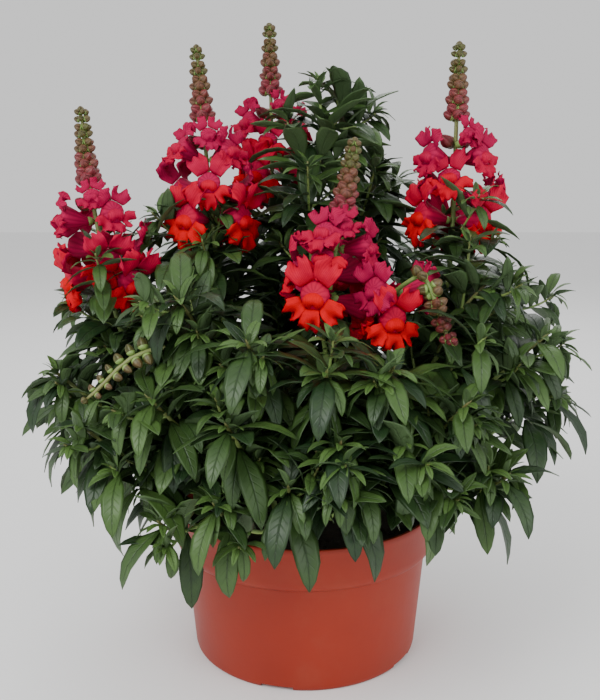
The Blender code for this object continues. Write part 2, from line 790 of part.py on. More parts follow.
def open_passage(bm, bottom, top):
    """Open a passage for the stem from one end face to the other."""
    rim = (CORE_RADIUS - PASSAGE_RADIUS) * math.cos(math.pi / CORE_SIDES)
    bmesh.ops.inset_individual(bm, faces=[bottom, top], thickness=rim, use_even_offset=True)
    edges = [edge for face in (bottom, top) for edge in face.edges]
    bmesh.ops.delete(bm, geom=[bottom, top], context="FACES_ONLY")
    bmesh.ops.bridge_loops(bm, edges=edges)


def grow_bloom(bm, faces, space, bearing, tier, rng):
    """Draw a bloom out of the core, in the first of a few postures where it meets nothing."""
    for attempt in range(BLOOM_TRIES):
        spread = BLOOM_STRAY * (1 + attempt * BLOOM_TRY_SPREAD)
        way = heading(bearing + rng.uniform(-spread, spread), tier.rise + rng.uniform(-spread, spread))
        face = max(faces, key=lambda other: other.normal.dot(way))
        bloom = Bloom(middle(face), way, tier.size * (BLOOM_SIZE - BLOOM_TRY_SHRINK * attempt))
        if space.is_free(*bloom.body(BLOOM_TEST_MARGIN)):
            bloom.grow(bm, face)
            space.add(*bloom.body(0))
            faces.remove(face)
            return


def make_head(name, stem, parts, root, space, rng):
    """The blooms and coloured buds of one spike, drawn out of a slim core round its stem."""
    low, high = to_point(stem.zone_start), to_point(stem.zone_end)
    length = (high - low).length
    bud_shares = PINK_BUD_SHARES if stem.buds else ()
    shares = [tier.share for tier in stem.tiers] + list(bud_shares)
    bm, bands = core_with_bands(low, high, [share * length for share in shares])
    bmesh.ops.recalc_face_normals(bm, faces=bm.faces)
    for tier, faces in zip(stem.tiers, bands):
        for bearing in tier.bearings:
            grow_bloom(bm, faces, space, bearing + stem.turn, tier, rng)
    for k, faces in enumerate(bands[len(stem.tiers) :]):
        reach, half_width = (most - less * k for most, less in zip(PINK_BUD, PINK_BUD_LESS))
        for face in faces[k % 2 :: 2]:
            grow_bud(bm, face, space, reach, half_width, PINK_BUD_RISE)
    head = object_from(bm, name, parts)
    place_part(head, root, "bloom_scarlet")
    space.add_mesh(head.data)


# Green stems


def start_stem(foot, radius):
    """A bmesh with the stem's foot in it, and the foot's upper face."""
    bm = bmesh.new()
    low = SOIL_EDGE - HOLE_DEPTH + GAP
    size = Matrix.Diagonal((2 * radius, 2 * radius, FOOT_LENGTH, 1))
    place = Matrix.Translation((foot[0] * MM, foot[1] * MM, low + FOOT_LENGTH / 2))
    bmesh.ops.create_cube(bm, size=1, matrix=place @ size)
    top = max(bm.faces, key=lambda face: middle(face).z)
    return bm, top


def main_route(foot, tip, tip_way):
    """From the foot straight up through the soil, then in one bend to the tip."""
    low = Vector((foot[0] * MM, foot[1] * MM, SOIL_EDGE - HOLE_DEPTH + FOOT_LENGTH + GAP))
    surface = Vector((low.x, low.y, SOIL_EDGE + SOIL_CROWN + FREE_HEIGHT))
    lean = (UP + FOOT_LEAN * outward_way(tip, 0)).normalized()
    return [low] + arc(surface, lean, tip, tip_way)


def soil_mark(route):
    """The distance along a main route at which it has left its hole."""
    return route.marks[1]


def spread_marks(route, leaves):
    """Each whorl's distance along the route, for the whorls that the route is long enough for."""
    leafy = route.length * LEAFY_SHARE
    return [route.length - whorl.below * MM for whorl in leaves if whorl.below * MM < leafy]


def grow_whorls(bm, stem, leaves, space, rng, turn=0):
    """Grow each band's leaves from its side faces: all four, or two that turn a quarter from band to band."""
    bands = sorted(stem.bands, key=lambda band: -band[0])
    for k, ((mark, faces), whorl) in enumerate(zip(bands, leaves)):
        ordered = around_stem(stem.route.at(mark)[0], faces)
        chosen = ordered if whorl.leaves == 4 else ordered[(k + turn) % 2 :: 2]
        for face in chosen:
            grow_leaf(bm, face, space, whorl, WHORL_TWIST * (-1) ** k, rng)


def around_stem(centre, faces):
    return sorted(faces, key=lambda face: math.atan2((middle(face) - centre).y, (middle(face) - centre).x))


def side_route(face, tip, tip_way, bend):
    """From a face of the main stem out and round to a side shoot's tip."""
    root = middle(face)
    start = root + face.normal * SHOOT_STEP_OUT
    way = (face.normal + SHOOT_AIM * (tip - root).normalized() + SHOOT_LIFT * UP).normalized()
    return Route([root + face.normal * SHOOT_SEAT] + arc(start, way, tip, tip_way, bend=bend))


def grow_side_shoot(bm, faces, tip, leaves, space, rng):
    """Draw a side shoot out of the main stem's band, along the first route where it meets nothing, if any."""
    centre = sum((middle(face) for face in faces), Vector()) / len(faces)
    ranked = sorted(faces, key=lambda face: -face.normal.dot(tip - centre))
    for attempt in range(SHOOT_TRIES):
        face = ranked[0] if attempt < SHOOT_TRIES // 2 else ranked[1]
        stray = Vector([rng.uniform(-1, 1) for _ in range(3)]) * attempt * SHOOT_STRAY
        end = tip + stray
        way = (outward_way(end, 1.0) + stray * SHOOT_TURN).normalized()
        bend = BEND + rng.uniform(-BEND_STRAY, BEND_STRAY) * min(attempt / WIDEST_BEND_TRY, 1)
        route = side_route(face, end, way, bend)
        side = face.normal.cross(UP).normalized()
        shoot = Stem(route, (SIDE_RADIUS, SIDE_TIP_RADIUS), spread_marks(route, leaves), side=side)
        if space.is_free(*shoot.body(GAP, TEST_FROM)):
            shoot.grow(bm, face, route.points[-1] + way * POINT_LENGTH)
            space.add(*shoot.body(0))
            return [shoot]
    return []


def start_bush(bush, space):
    """The main stem of a leafy plant, and the bands that its side shoots grow from."""
    tip = to_point(bush.tips[0])
    way = outward_way(tip, 1.0)
    route = Route(main_route(bush.foot, tip, way))
    forks = [route.length * (FIRST_FORK + FORK_STEP * k) for k in range(len(bush.tips) - 1)]
    marks = forks + spread_marks(route, bush.leaves)
    stem = Stem(route, (MAIN_RADIUS, SIDE_TIP_RADIUS), marks, [soil_mark(route)])
    bm, top = start_stem(bush.foot, MAIN_RADIUS)
    stem.grow(bm, top, tip + way * POINT_LENGTH)
    space.add(*stem.body(0))
    fork_bands = [faces for band, faces in stem.bands if band in forks]
    stem.bands = [band for band in stem.bands if band[0] not in forks]
    return bm, stem, fork_bands


def make_flower_stem(stem, space):
    """The green stem of one spike: leaves below the head, a clear stretch in it and green buds above."""
    low, high, tip = to_point(stem.zone_start), to_point(stem.zone_end), to_point(stem.tip)
    way = (high - low).normalized()
    below = low - way * HEAD_CLEARANCE[0]
    lower = main_route(stem.foot, below, way)
    above = high + way * HEAD_CLEARANCE[1]
    route = Route(lower + [low, high] + arc(above, way, tip, (tip - above).normalized(), 8))
    head_start = Route(lower).length
    clear_end = head_start + (above - below).length
    leaf_marks = [head_start - whorl.below * MM for whorl in FLOWER_STEM_LEAVES]
    bud_step = (route.length - clear_end) / BUD_RINGS
    bud_marks = [clear_end + bud_step * (k + GREEN_BUD_START) for k in range(BUD_RINGS)]
    knots = [soil_mark(route), head_start, clear_end]
    grown = Stem(route, (MAIN_RADIUS, TOP_RADIUS), leaf_marks + bud_marks, knots)
    bm, top = start_stem(stem.foot, MAIN_RADIUS)
    grown.grow(bm, top, tip + way * POINT_LENGTH)
    space.add(*grown.body(0))
    grow_bud_rings(bm, grown, clear_end, space)
    grown.bands = [band for band in grown.bands if band[0] < clear_end]
    return bm, grown


def grow_bud_rings(bm, stem, start, space):
    """Green buds on every face of the bands past the start, smaller towards the tip."""
    for mark, faces in stem.bands:
        if mark < start:
            continue
        share = (mark - start) / (stem.route.length - start)
        reach, half_width = (most - less * share for most, less in zip(GREEN_BUD, GREEN_BUD_LESS))
        for face in faces:
            grow_bud(bm, face, space, reach, half_width, GREEN_BUD_RISE)


def make_young_raceme(space):
    """The pale young raceme that arches over at the left: a bare stem with buds along its drooping end."""
    bend, tip = to_point(YOUNG_RACEME_BEND), to_point(YOUNG_RACEME_TIP)
    over = (tip - bend + UP * YOUNG_RACEME_CREST).normalized()
    lower = main_route(YOUNG_RACEME_FOOT, bend, over)
    route = Route(lower + arc(bend, over, tip, (tip - bend).normalized())[1:])
    start = Route(lower).length
    bud_step = (route.length - start) / YOUNG_BUD_RINGS
    marks = [start + bud_step * (k + YOUNG_BUD_START) for k in range(YOUNG_BUD_RINGS)]
    marks += [start - whorl.below * MM for whorl in YOUNG_LEAVES]
    stem = Stem(route, (MAIN_RADIUS, TOP_RADIUS), marks, [soil_mark(route)])
    bm, top = start_stem(YOUNG_RACEME_FOOT, MAIN_RADIUS)
    stem.grow(bm, top, tip + (tip - bend).normalized() * POINT_LENGTH)
    space.add(*stem.body(0))
    grow_bud_rings(bm, stem, start, space)
    stem.bands = [band for band in stem.bands if band[0] < start]
    return bm, stem


def main():
    clear_scene()
    parts = new_collection(PART)
    root = bpy.data.objects.new("plant_origin", None)
    parts.objects.link(root)
    space = Space()
    rng = random.Random(SEED)
    make_pot(parts, root)
    make_soil(parts, root)
    for key, stem in FLOWER_STEMS.items():
        make_head("flower_head_" + key, stem, parts, root, space, rng)
    grown = []
    for key, stem in FLOWER_STEMS.items():
        bm, shoot = make_flower_stem(stem, space)
        grown.append(("flower_stem_" + key, bm, [shoot], FLOWER_STEM_LEAVES, "leaf_deep_green"))
    bm, shoot = make_young_raceme(space)
    grown.append(("young_raceme", bm, [shoot], YOUNG_LEAVES, "young_pale_green"))
    started = {key: start_bush(bush, space) for key, bush in BUSHES.items()}
    for key, bush in BUSHES.items():
        bm, stem, forks = started[key]
        shoots = [stem]
        for fork, tip in zip(forks, bush.tips[1:]):
            shoots += grow_side_shoot(bm, fork, to_point(tip), bush.leaves, space, rng)
        grown.append(("leafy_stem_" + key, bm, shoots, bush.leaves, "leaf_deep_green"))
    for name, bm, shoots, leaves, finish in grown:
        for k, shoot in enumerate(shoots):
            grow_whorls(bm, shoot, leaves, space, rng, k)
        bmesh.ops.recalc_face_normals(bm, faces=bm.faces)
        place_part(object_from(bm, name, parts), root, finish)


if __name__ == "__main__":
    main()
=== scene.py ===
"""The finished look of a potted snapdragon: fine leaves, blooms, buds, stems, pot and soil.

Every leaf, bloom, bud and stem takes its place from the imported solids, so the fine plant keeps their form.
"""

import logging
import math
import random
from collections.abc import Callable
from dataclasses import dataclass, field
from enum import Enum

import bpy
import numpy as np
from mathutils import Matrix, Vector, noise


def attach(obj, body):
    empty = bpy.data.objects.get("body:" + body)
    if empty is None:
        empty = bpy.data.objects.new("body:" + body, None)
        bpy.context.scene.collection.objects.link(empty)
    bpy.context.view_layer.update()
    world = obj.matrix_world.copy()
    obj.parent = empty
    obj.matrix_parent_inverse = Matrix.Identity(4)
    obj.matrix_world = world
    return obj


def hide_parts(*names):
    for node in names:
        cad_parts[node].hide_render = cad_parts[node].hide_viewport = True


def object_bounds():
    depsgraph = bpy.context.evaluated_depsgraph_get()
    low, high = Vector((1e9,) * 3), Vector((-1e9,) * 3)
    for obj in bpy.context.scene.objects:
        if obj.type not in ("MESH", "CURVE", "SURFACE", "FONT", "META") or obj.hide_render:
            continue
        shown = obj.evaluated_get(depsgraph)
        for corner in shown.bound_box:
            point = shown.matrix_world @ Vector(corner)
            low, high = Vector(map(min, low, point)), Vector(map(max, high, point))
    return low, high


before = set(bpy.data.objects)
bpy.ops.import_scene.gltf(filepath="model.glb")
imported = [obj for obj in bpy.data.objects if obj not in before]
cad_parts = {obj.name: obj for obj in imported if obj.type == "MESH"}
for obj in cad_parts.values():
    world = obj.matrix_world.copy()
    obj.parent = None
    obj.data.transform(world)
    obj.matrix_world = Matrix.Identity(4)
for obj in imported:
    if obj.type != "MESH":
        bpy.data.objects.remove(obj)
CAD_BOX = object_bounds()

LOG = logging.getLogger("snapdragon")
MM = 0.001
SEED = 41
UP = np.array((0.0, 0.0, 1.0))
ASKEW = np.array((0.2, 0.3, 1.0))  # no stem runs along these three, so crossing one gives a way to the side
BUD_ASKEW = np.array((0.1, 0.2, 1.0))
ROD_ASKEW = np.array((0.3, 1.0, 0.2))
GOLDEN_TURN = 2.4
BUD_FULLNESS = 1.3
UPPER_STEMS = ("leafy_stem_top", "leafy_stem_left_top", "leafy_stem_right_top", "leafy_stem_back_right")
FLOWER_STEM = {"bare": 126 * MM, "fill_reach": 190 * MM, "crowded": True}
YOUNG_RACEME = {"bare": 60 * MM, "fill_reach": 0.0, "blush": 0.3}
THICK = {"twig_step": 15 * MM, "longest_twig": 62.0}
OPEN_BLOOMS = (1.0, 1.06, 0.94, 1.0)
YOUNG_BLOOMS = (0.62, 0.75)


class Slot(Enum):
    """Names of material slots; each piece keeps one, but nothing reads it."""

    POT = "pot_plastic"
    SOIL = "soil"
    LEAF = "leaf_green"
    YOUNG = "young_green"
    BLOOM = "bloom_red"


class Layer(Enum):
    """The named attributes that a grown mesh carries for its materials."""

    TINT = "tint"
    UNDER = "under"
    ROSE = "rose"


# Shader maths


def _operator(operation: str, reflected: bool = False) -> Callable[["Sock", object], "Sock"]:
    """The method behind one arithmetic operator, which adds a Math node."""

    def method(self: "Sock", other: object) -> "Sock":
        return self.math(operation, other, self) if reflected else self.math(operation, self, other)

    return method


class Sock:
    """One output socket, with the arithmetic operators that add Math nodes."""

    __add__, __radd__ = _operator("ADD"), _operator("ADD", True)
    __sub__, __rsub__ = _operator("SUBTRACT"), _operator("SUBTRACT", True)
    __mul__, __rmul__ = _operator("MULTIPLY"), _operator("MULTIPLY", True)

    def __init__(self, tree: bpy.types.NodeTree, socket: bpy.types.NodeSocket) -> None:
        """Keep the socket and its tree."""
        self.tree = tree
        self.socket = socket

    def math(self, operation: str, first: object, second: object) -> "Sock":
        """The output of a new Math node on two values, each a number or a Sock."""
        node = self.tree.nodes.new("ShaderNodeMath")
        node.operation = operation
        feed(self.tree, node.inputs[0], first)
        feed(self.tree, node.inputs[1], second)
        return Sock(self.tree, node.outputs[0])

    def absolute(self) -> "Sock":
        """The value without its sign."""
        return self.math("ABSOLUTE", self, 0.0)

    def clamped(self) -> "Sock":
        """The value held between nought and one."""
        return self.math("MINIMUM", self.math("MAXIMUM", self, 0.0), 1.0)

    def zigzag(self) -> "Sock":
        """A wave that runs from nought to a half and back as the value grows by one."""
        return self.math("PINGPONG", self, 0.5)


def feed(tree: bpy.types.NodeTree, target: bpy.types.NodeSocket, value: object) -> None:
    """Link a Sock to an input, or set the input to a plain value."""
    if isinstance(value, Sock):
        tree.links.new(value.socket, target)
    else:
        target.default_value = value


class Dye:
    """A material under construction: its Principled shader and a short way to add nodes."""

    def __init__(self, name: str) -> None:
        """Start a material with a Principled shader."""
        self.material = bpy.data.materials.new(name)
        self.material.use_nodes = True
        self.tree = self.material.node_tree
        self.shader = self.tree.nodes["Principled BSDF"]

    def node(
        self, kind: str, settings: dict | None = None, inputs: dict | None = None, out: int | str = 0
    ) -> Sock:
        """Add any node.

        Args:
            kind: the node's type.
            settings: its properties, set first.
            inputs: values or Socks by input name or place.
            out: the output that is wanted.

        Returns:
            That output.
        """
        made = self.tree.nodes.new(kind)
        for key, value in (settings or {}).items():
            setattr(made, key, value)
        for key, value in (inputs or {}).items():
            feed(self.tree, made.inputs[key], value)
        return Sock(self.tree, made.outputs[out])

    def place(self) -> Sock:
        """Object coordinates."""
        return self.node("ShaderNodeTexCoord", out="Object")

    def layer(self, layer: Layer) -> Sock:
        """A float attribute of the mesh."""
        return self.node("ShaderNodeAttribute", {"attribute_name": layer.value}, out="Fac")

    def flat(self) -> tuple[Sock, Sock]:
        """The two coordinates of the mesh's own UV map."""
        uv = self.node("ShaderNodeUVMap", {"uv_map": "grain"})
        split = self.tree.nodes.new("ShaderNodeSeparateXYZ")
        self.tree.links.new(uv.socket, split.inputs[0])
        return Sock(self.tree, split.outputs[0]), Sock(self.tree, split.outputs[1])

    def noise(self, scale: float, detail: float = 3.0, rough: float = 0.5) -> Sock:
        """Noise over object coordinates, from about nought to one."""
        inputs = {"Vector": self.place(), "Scale": scale, "Detail": detail, "Roughness": rough}
        return self.node("ShaderNodeTexNoise", None, inputs)

    def blend(self, share: object, first: object, second: object) -> Sock:
        """The mix of two colours, with share as how much there is of the second."""
        settings = {"data_type": "RGBA", "clamp_factor": True}
        return self.node("ShaderNodeMix", settings, {0: share, 6: first, 7: second}, out=2)

    def bump(self, height: Sock, distance: float, strength: float = 1.0) -> Sock:
        """A normal from a height."""
        inputs = {"Height": height, "Distance": distance, "Strength": strength}
        return self.node("ShaderNodeBump", None, inputs)

    def set(self, **sockets: object) -> bpy.types.Material:
        """Set or link the shader's inputs, named with underscores for spaces, and return the material."""
        for key, value in sockets.items():
            feed(self.tree, self.shader.inputs[key.replace("_", " ")], value)
        return self.material


Colour = tuple[float, float, float, float]


def pot_finish() -> bpy.types.Material:
    """Moulded terracotta-coloured plastic with a soft gloss, faint flow marks and a little dust."""
    deep = (0.230, 0.014, 0.003, 1)
    light = (0.310, 0.025, 0.007, 1)
    dust = (0.320, 0.080, 0.040, 1)
    roughness = 0.40
    gloss = 0.32
    relief = 0.12 * MM
    dye = Dye("pot_plastic_finish")
    cloud = dye.noise(14.0, 4.0)
    colour = dye.blend((cloud * 1.6 - 0.3).clamped(), deep, light)
    dusty = ((dye.noise(38.0, 5.0, 0.65) - 0.52) * 2.2).clamped() * 0.35
    return dye.set(
        Base_Color=dye.blend(dusty, colour, dust),
        Roughness=roughness + dusty * 0.4 + cloud * 0.08,
        Normal=dye.bump(dye.noise(420.0, 2.0) * 0.4 + dye.noise(90.0, 3.0), relief),
        Specular_IOR_Level=gloss,
    )


def peat_finish() -> bpy.types.Material:
    """Dark crumbly potting soil with paler fibres."""
    dark = (0.010, 0.007, 0.005, 1)
    brown = (0.045, 0.028, 0.017, 1)
    roughness = 0.96
    relief = 1.2 * MM
    dye = Dye("peat_finish")
    grain = dye.noise(160.0, 6.0, 0.7)
    fibre = dye.node("ShaderNodeTexVoronoi", None, {"Vector": dye.place(), "Scale": 260.0})
    colour = dye.blend((grain * 2.0 - 0.6).clamped(), dark, brown)
    normal = dye.bump(grain + fibre * 0.5, relief)
    return dye.set(Base_Color=colour, Roughness=roughness, Normal=normal)


def leaf_finish(name: str, deep: Colour, fresh: Colour, rib_and_crease_shade: Colour, back: Colour) -> bpy.types.Material:
    """Make a smooth leaf skin with a sunken midrib and faint side veins tinted towards one colour, and a
    paler underside.

    Args:
        name: the material's name.
        deep: the colour of the darkest leaves.
        fresh: the colour of the freshest leaves.
        rib_and_crease_shade: the colour along the veins: painted crease shade on deep leaves, a paler green
            on young ones.
        back: the colour of the undersides.

    Returns:
        The material.
    """
    roughness = 0.36
    gloss = 0.34
    relief = 0.5 * MM
    relief_strength = 0.8
    rib_sharpness = 9.0
    vein_count = 9.0
    vein_sharpness = 7.0
    dye = Dye(name)
    across, along = dye.flat()
    off_rib = (across - 0.5).absolute() * 2.0
    tint, under = dye.layer(Layer.TINT), dye.layer(Layer.UNDER)
    mottle = dye.noise(120.0, 4.0)
    colour = dye.blend((tint * 0.9 + mottle * 0.5 - 0.25).clamped(), deep, fresh)
    # The midrib is painted with the vein colour: painted shade in its crease on deep leaves, a paler green on
    # young ones.
    midrib = (1.0 - off_rib * rib_sharpness).clamped() * 0.55
    colour = dye.blend(midrib, colour, rib_and_crease_shade)
    vein = (along * vein_count - off_rib * 1.6).zigzag()
    fine = (1.0 - vein * vein_sharpness).clamped() * (1.0 - off_rib)
    # The side veins take a little of the same colour: faint painted crease shade on deep leaves, paler on
    # young ones.
    colour = dye.blend(fine * 0.16, colour, rib_and_crease_shade)
    height = mottle * 0.5 - midrib * 1.4 - fine * 0.5
    return dye.set(
        Base_Color=dye.blend(under * 0.8, colour, back),
        Roughness=roughness + under * 0.18 + mottle * 0.12,
        Normal=dye.bump(height, relief, relief_strength),
        Specular_IOR_Level=gloss,
    )


DEEP_LEAF = {
    "deep": (0.011, 0.030, 0.009, 1),
    "fresh": (0.076, 0.150, 0.032, 1),
    # Darker than the deepest green: painted shade in the midrib and vein creases.
    "rib_and_crease_shade": (0.005, 0.013, 0.004, 1),
    "back": (0.080, 0.135, 0.055, 1),
}
YOUNG_LEAF = {
    "deep": (0.110, 0.210, 0.060, 1),
    "fresh": (0.210, 0.340, 0.110, 1),
    "rib_and_crease_shade": (0.300, 0.420, 0.180, 1),
    "back": (0.230, 0.330, 0.160, 1),
}


def stem_finish() -> bpy.types.Material:
    """Fresh stem green that turns red-brown in places, with fine lengthwise lines."""
    green = (0.190, 0.300, 0.075, 1)
    red_brown = (0.130, 0.060, 0.030, 1)
    roughness = 0.5
    relief = 0.2 * MM
    dye = Dye("stem_finish")
    ruddy = (dye.layer(Layer.TINT) * 1.5 + dye.noise(30.0, 3.0) * 0.8 - 1.15).clamped() * 0.8
    colour = dye.blend(ruddy, green, red_brown)
    normal = dye.bump(dye.noise(500.0, 2.0), relief)
    return dye.set(Base_Color=colour, Roughness=roughness, Normal=normal)


def petal_finish() -> bpy.types.Material:
    """Velvety petals: scarlet faces, rose-crimson tubes and backs, with painted shade in fine vein creases
    that run outwards and at the lobes' bases.
    """
    scarlet = (0.580, 0.0003, 0.0060, 1)
    crimson = (0.380, 0.008, 0.060, 1)
    shadow = (0.070, 0.0005, 0.012, 1)
    roughness = 0.52
    gloss = 0.06
    relief = 0.4 * MM
    vein_count = 13.0
    sharpness = 3.2
    dye = Dye("petal_finish")
    across, along = dye.flat()
    rose = dye.layer(Layer.ROSE)
    cloud = dye.noise(85.0, 4.0)
    colour = dye.blend((rose + cloud * 0.5 - 0.25).clamped(), scarlet, crimson)
    streak = (across * vein_count).zigzag()
    # Painted shade: the vein creases and the bases of the lobes are darkened towards the shadow colour.
    vein = (1.0 - streak * sharpness).clamped() * 0.40
    throat_shade = (1.0 - along * sharpness).clamped() * 0.55
    dark = (vein * (0.3 + rose) + throat_shade * dye.layer(Layer.TINT)).clamped() * 0.8
    return dye.set(
        Base_Color=dye.blend(dark, colour, shadow),
        Roughness=roughness + cloud * 0.2,
        Normal=dye.bump(cloud + streak * 0.5, relief),
        Specular_IOR_Level=gloss,
    )


def bud_finish() -> bpy.types.Material:
    """Buds that go from olive green to brown-pink, with painted shade in the creases between the folds."""
    green = (0.078, 0.082, 0.018, 1)
    blush = (0.190, 0.020, 0.030, 1)
    fold = (0.022, 0.008, 0.005, 1)
    folds = 5.0
    sharpness = 5.0
    roughness = 0.48
    relief = 0.6 * MM
    dye = Dye("bud_finish")
    cloud = dye.noise(220.0, 4.0)
    colour = dye.blend((dye.layer(Layer.ROSE) + cloud * 0.7 - 0.35).clamped(), green, blush)
    crease = (dye.flat()[0] * folds).zigzag()
    # Painted shade: the creases between the folds are darkened towards the fold colour.
    colour = dye.blend((1.0 - crease * sharpness).clamped() * 0.6, colour, fold)
    normal = dye.bump(crease + cloud * 0.4, relief)
    return dye.set(Base_Color=colour, Roughness=roughness, Normal=normal)


def floor_finish() -> bpy.types.Material:
    """The plain pale floor."""
    pale = (0.86, 0.86, 0.86, 1)
    grey = (0.80, 0.80, 0.80, 1)
    roughness = 0.9
    dye = Dye("floor_finish")
    return dye.set(Base_Color=dye.blend(dye.noise(3.0) * 0.1, pale, grey), Roughness=roughness)


# Ways


def unit(vector: np.ndarray) -> np.ndarray:
    """The vector at length one."""
    return vector / max(float(np.linalg.norm(vector)), 1e-12)


def unit_rows(vectors: np.ndarray) -> np.ndarray:
    """Every row at length one."""
    return vectors / np.linalg.norm(vectors, axis=1)[:, None]


def square_ways(way: np.ndarray, against: np.ndarray = ASKEW) -> tuple[np.ndarray, np.ndarray]:
    """Two ways that are square to a given one and to each other."""
    side = unit(np.cross(way, against))
    return side, np.cross(side, way)


def swung(first: np.ndarray, second: np.ndarray, angle: float) -> np.ndarray:
    """The first way swung towards the second by an angle."""
    return first * math.cos(angle) + second * math.sin(angle)


def lengths_along(points: np.ndarray) -> np.ndarray:
    """How far each point lies along the line through all of them."""
    return np.concatenate([[0.0], np.cumsum(np.linalg.norm(np.diff(points, axis=0), axis=1))])


def spline(points: np.ndarray, places: np.ndarray) -> np.ndarray:
    """Read a smooth curve through the points, at places from 0 at the first to 1 at the last, by length."""
    marks = lengths_along(points)
    marks /= max(marks[-1], 1e-9)
    slopes = np.gradient(points, marks, axis=0)
    place = np.clip(np.searchsorted(marks, places, side="right") - 1, 0, len(points) - 2)
    span = (marks[place + 1] - marks[place])[:, None]
    t = (places - marks[place])[:, None] / span
    return (
        (2 * t**3 - 3 * t**2 + 1) * points[place]
        + (t**3 - 2 * t**2 + t) * span * slopes[place]
        + (-2 * t**3 + 3 * t**2) * points[place + 1]
        + (t**3 - t**2) * span * slopes[place + 1]
    )


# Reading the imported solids


@dataclass
class LeafSeat:
    """Where one packed leaf lies: four points of its midrib, its across vectors, and its half width."""

    spine: np.ndarray
    across: np.ndarray
    half_width: float


@dataclass
class BudSeat:
    """Where one packed bud lies: its root, its tip and its half width."""

    root: np.ndarray
    tip: np.ndarray
    half_width: float


@dataclass
class BloomSeat:
    """Where one packed bloom lies: its root, its way out, its upward side and its relative size."""

    root: np.ndarray
    way: np.ndarray
    up: np.ndarray
    size: float


@dataclass
class ShootSeat:
    """One stem from its tip back to its root, ring by ring: the centres and the half widths."""

    centres: np.ndarray
    halves: np.ndarray


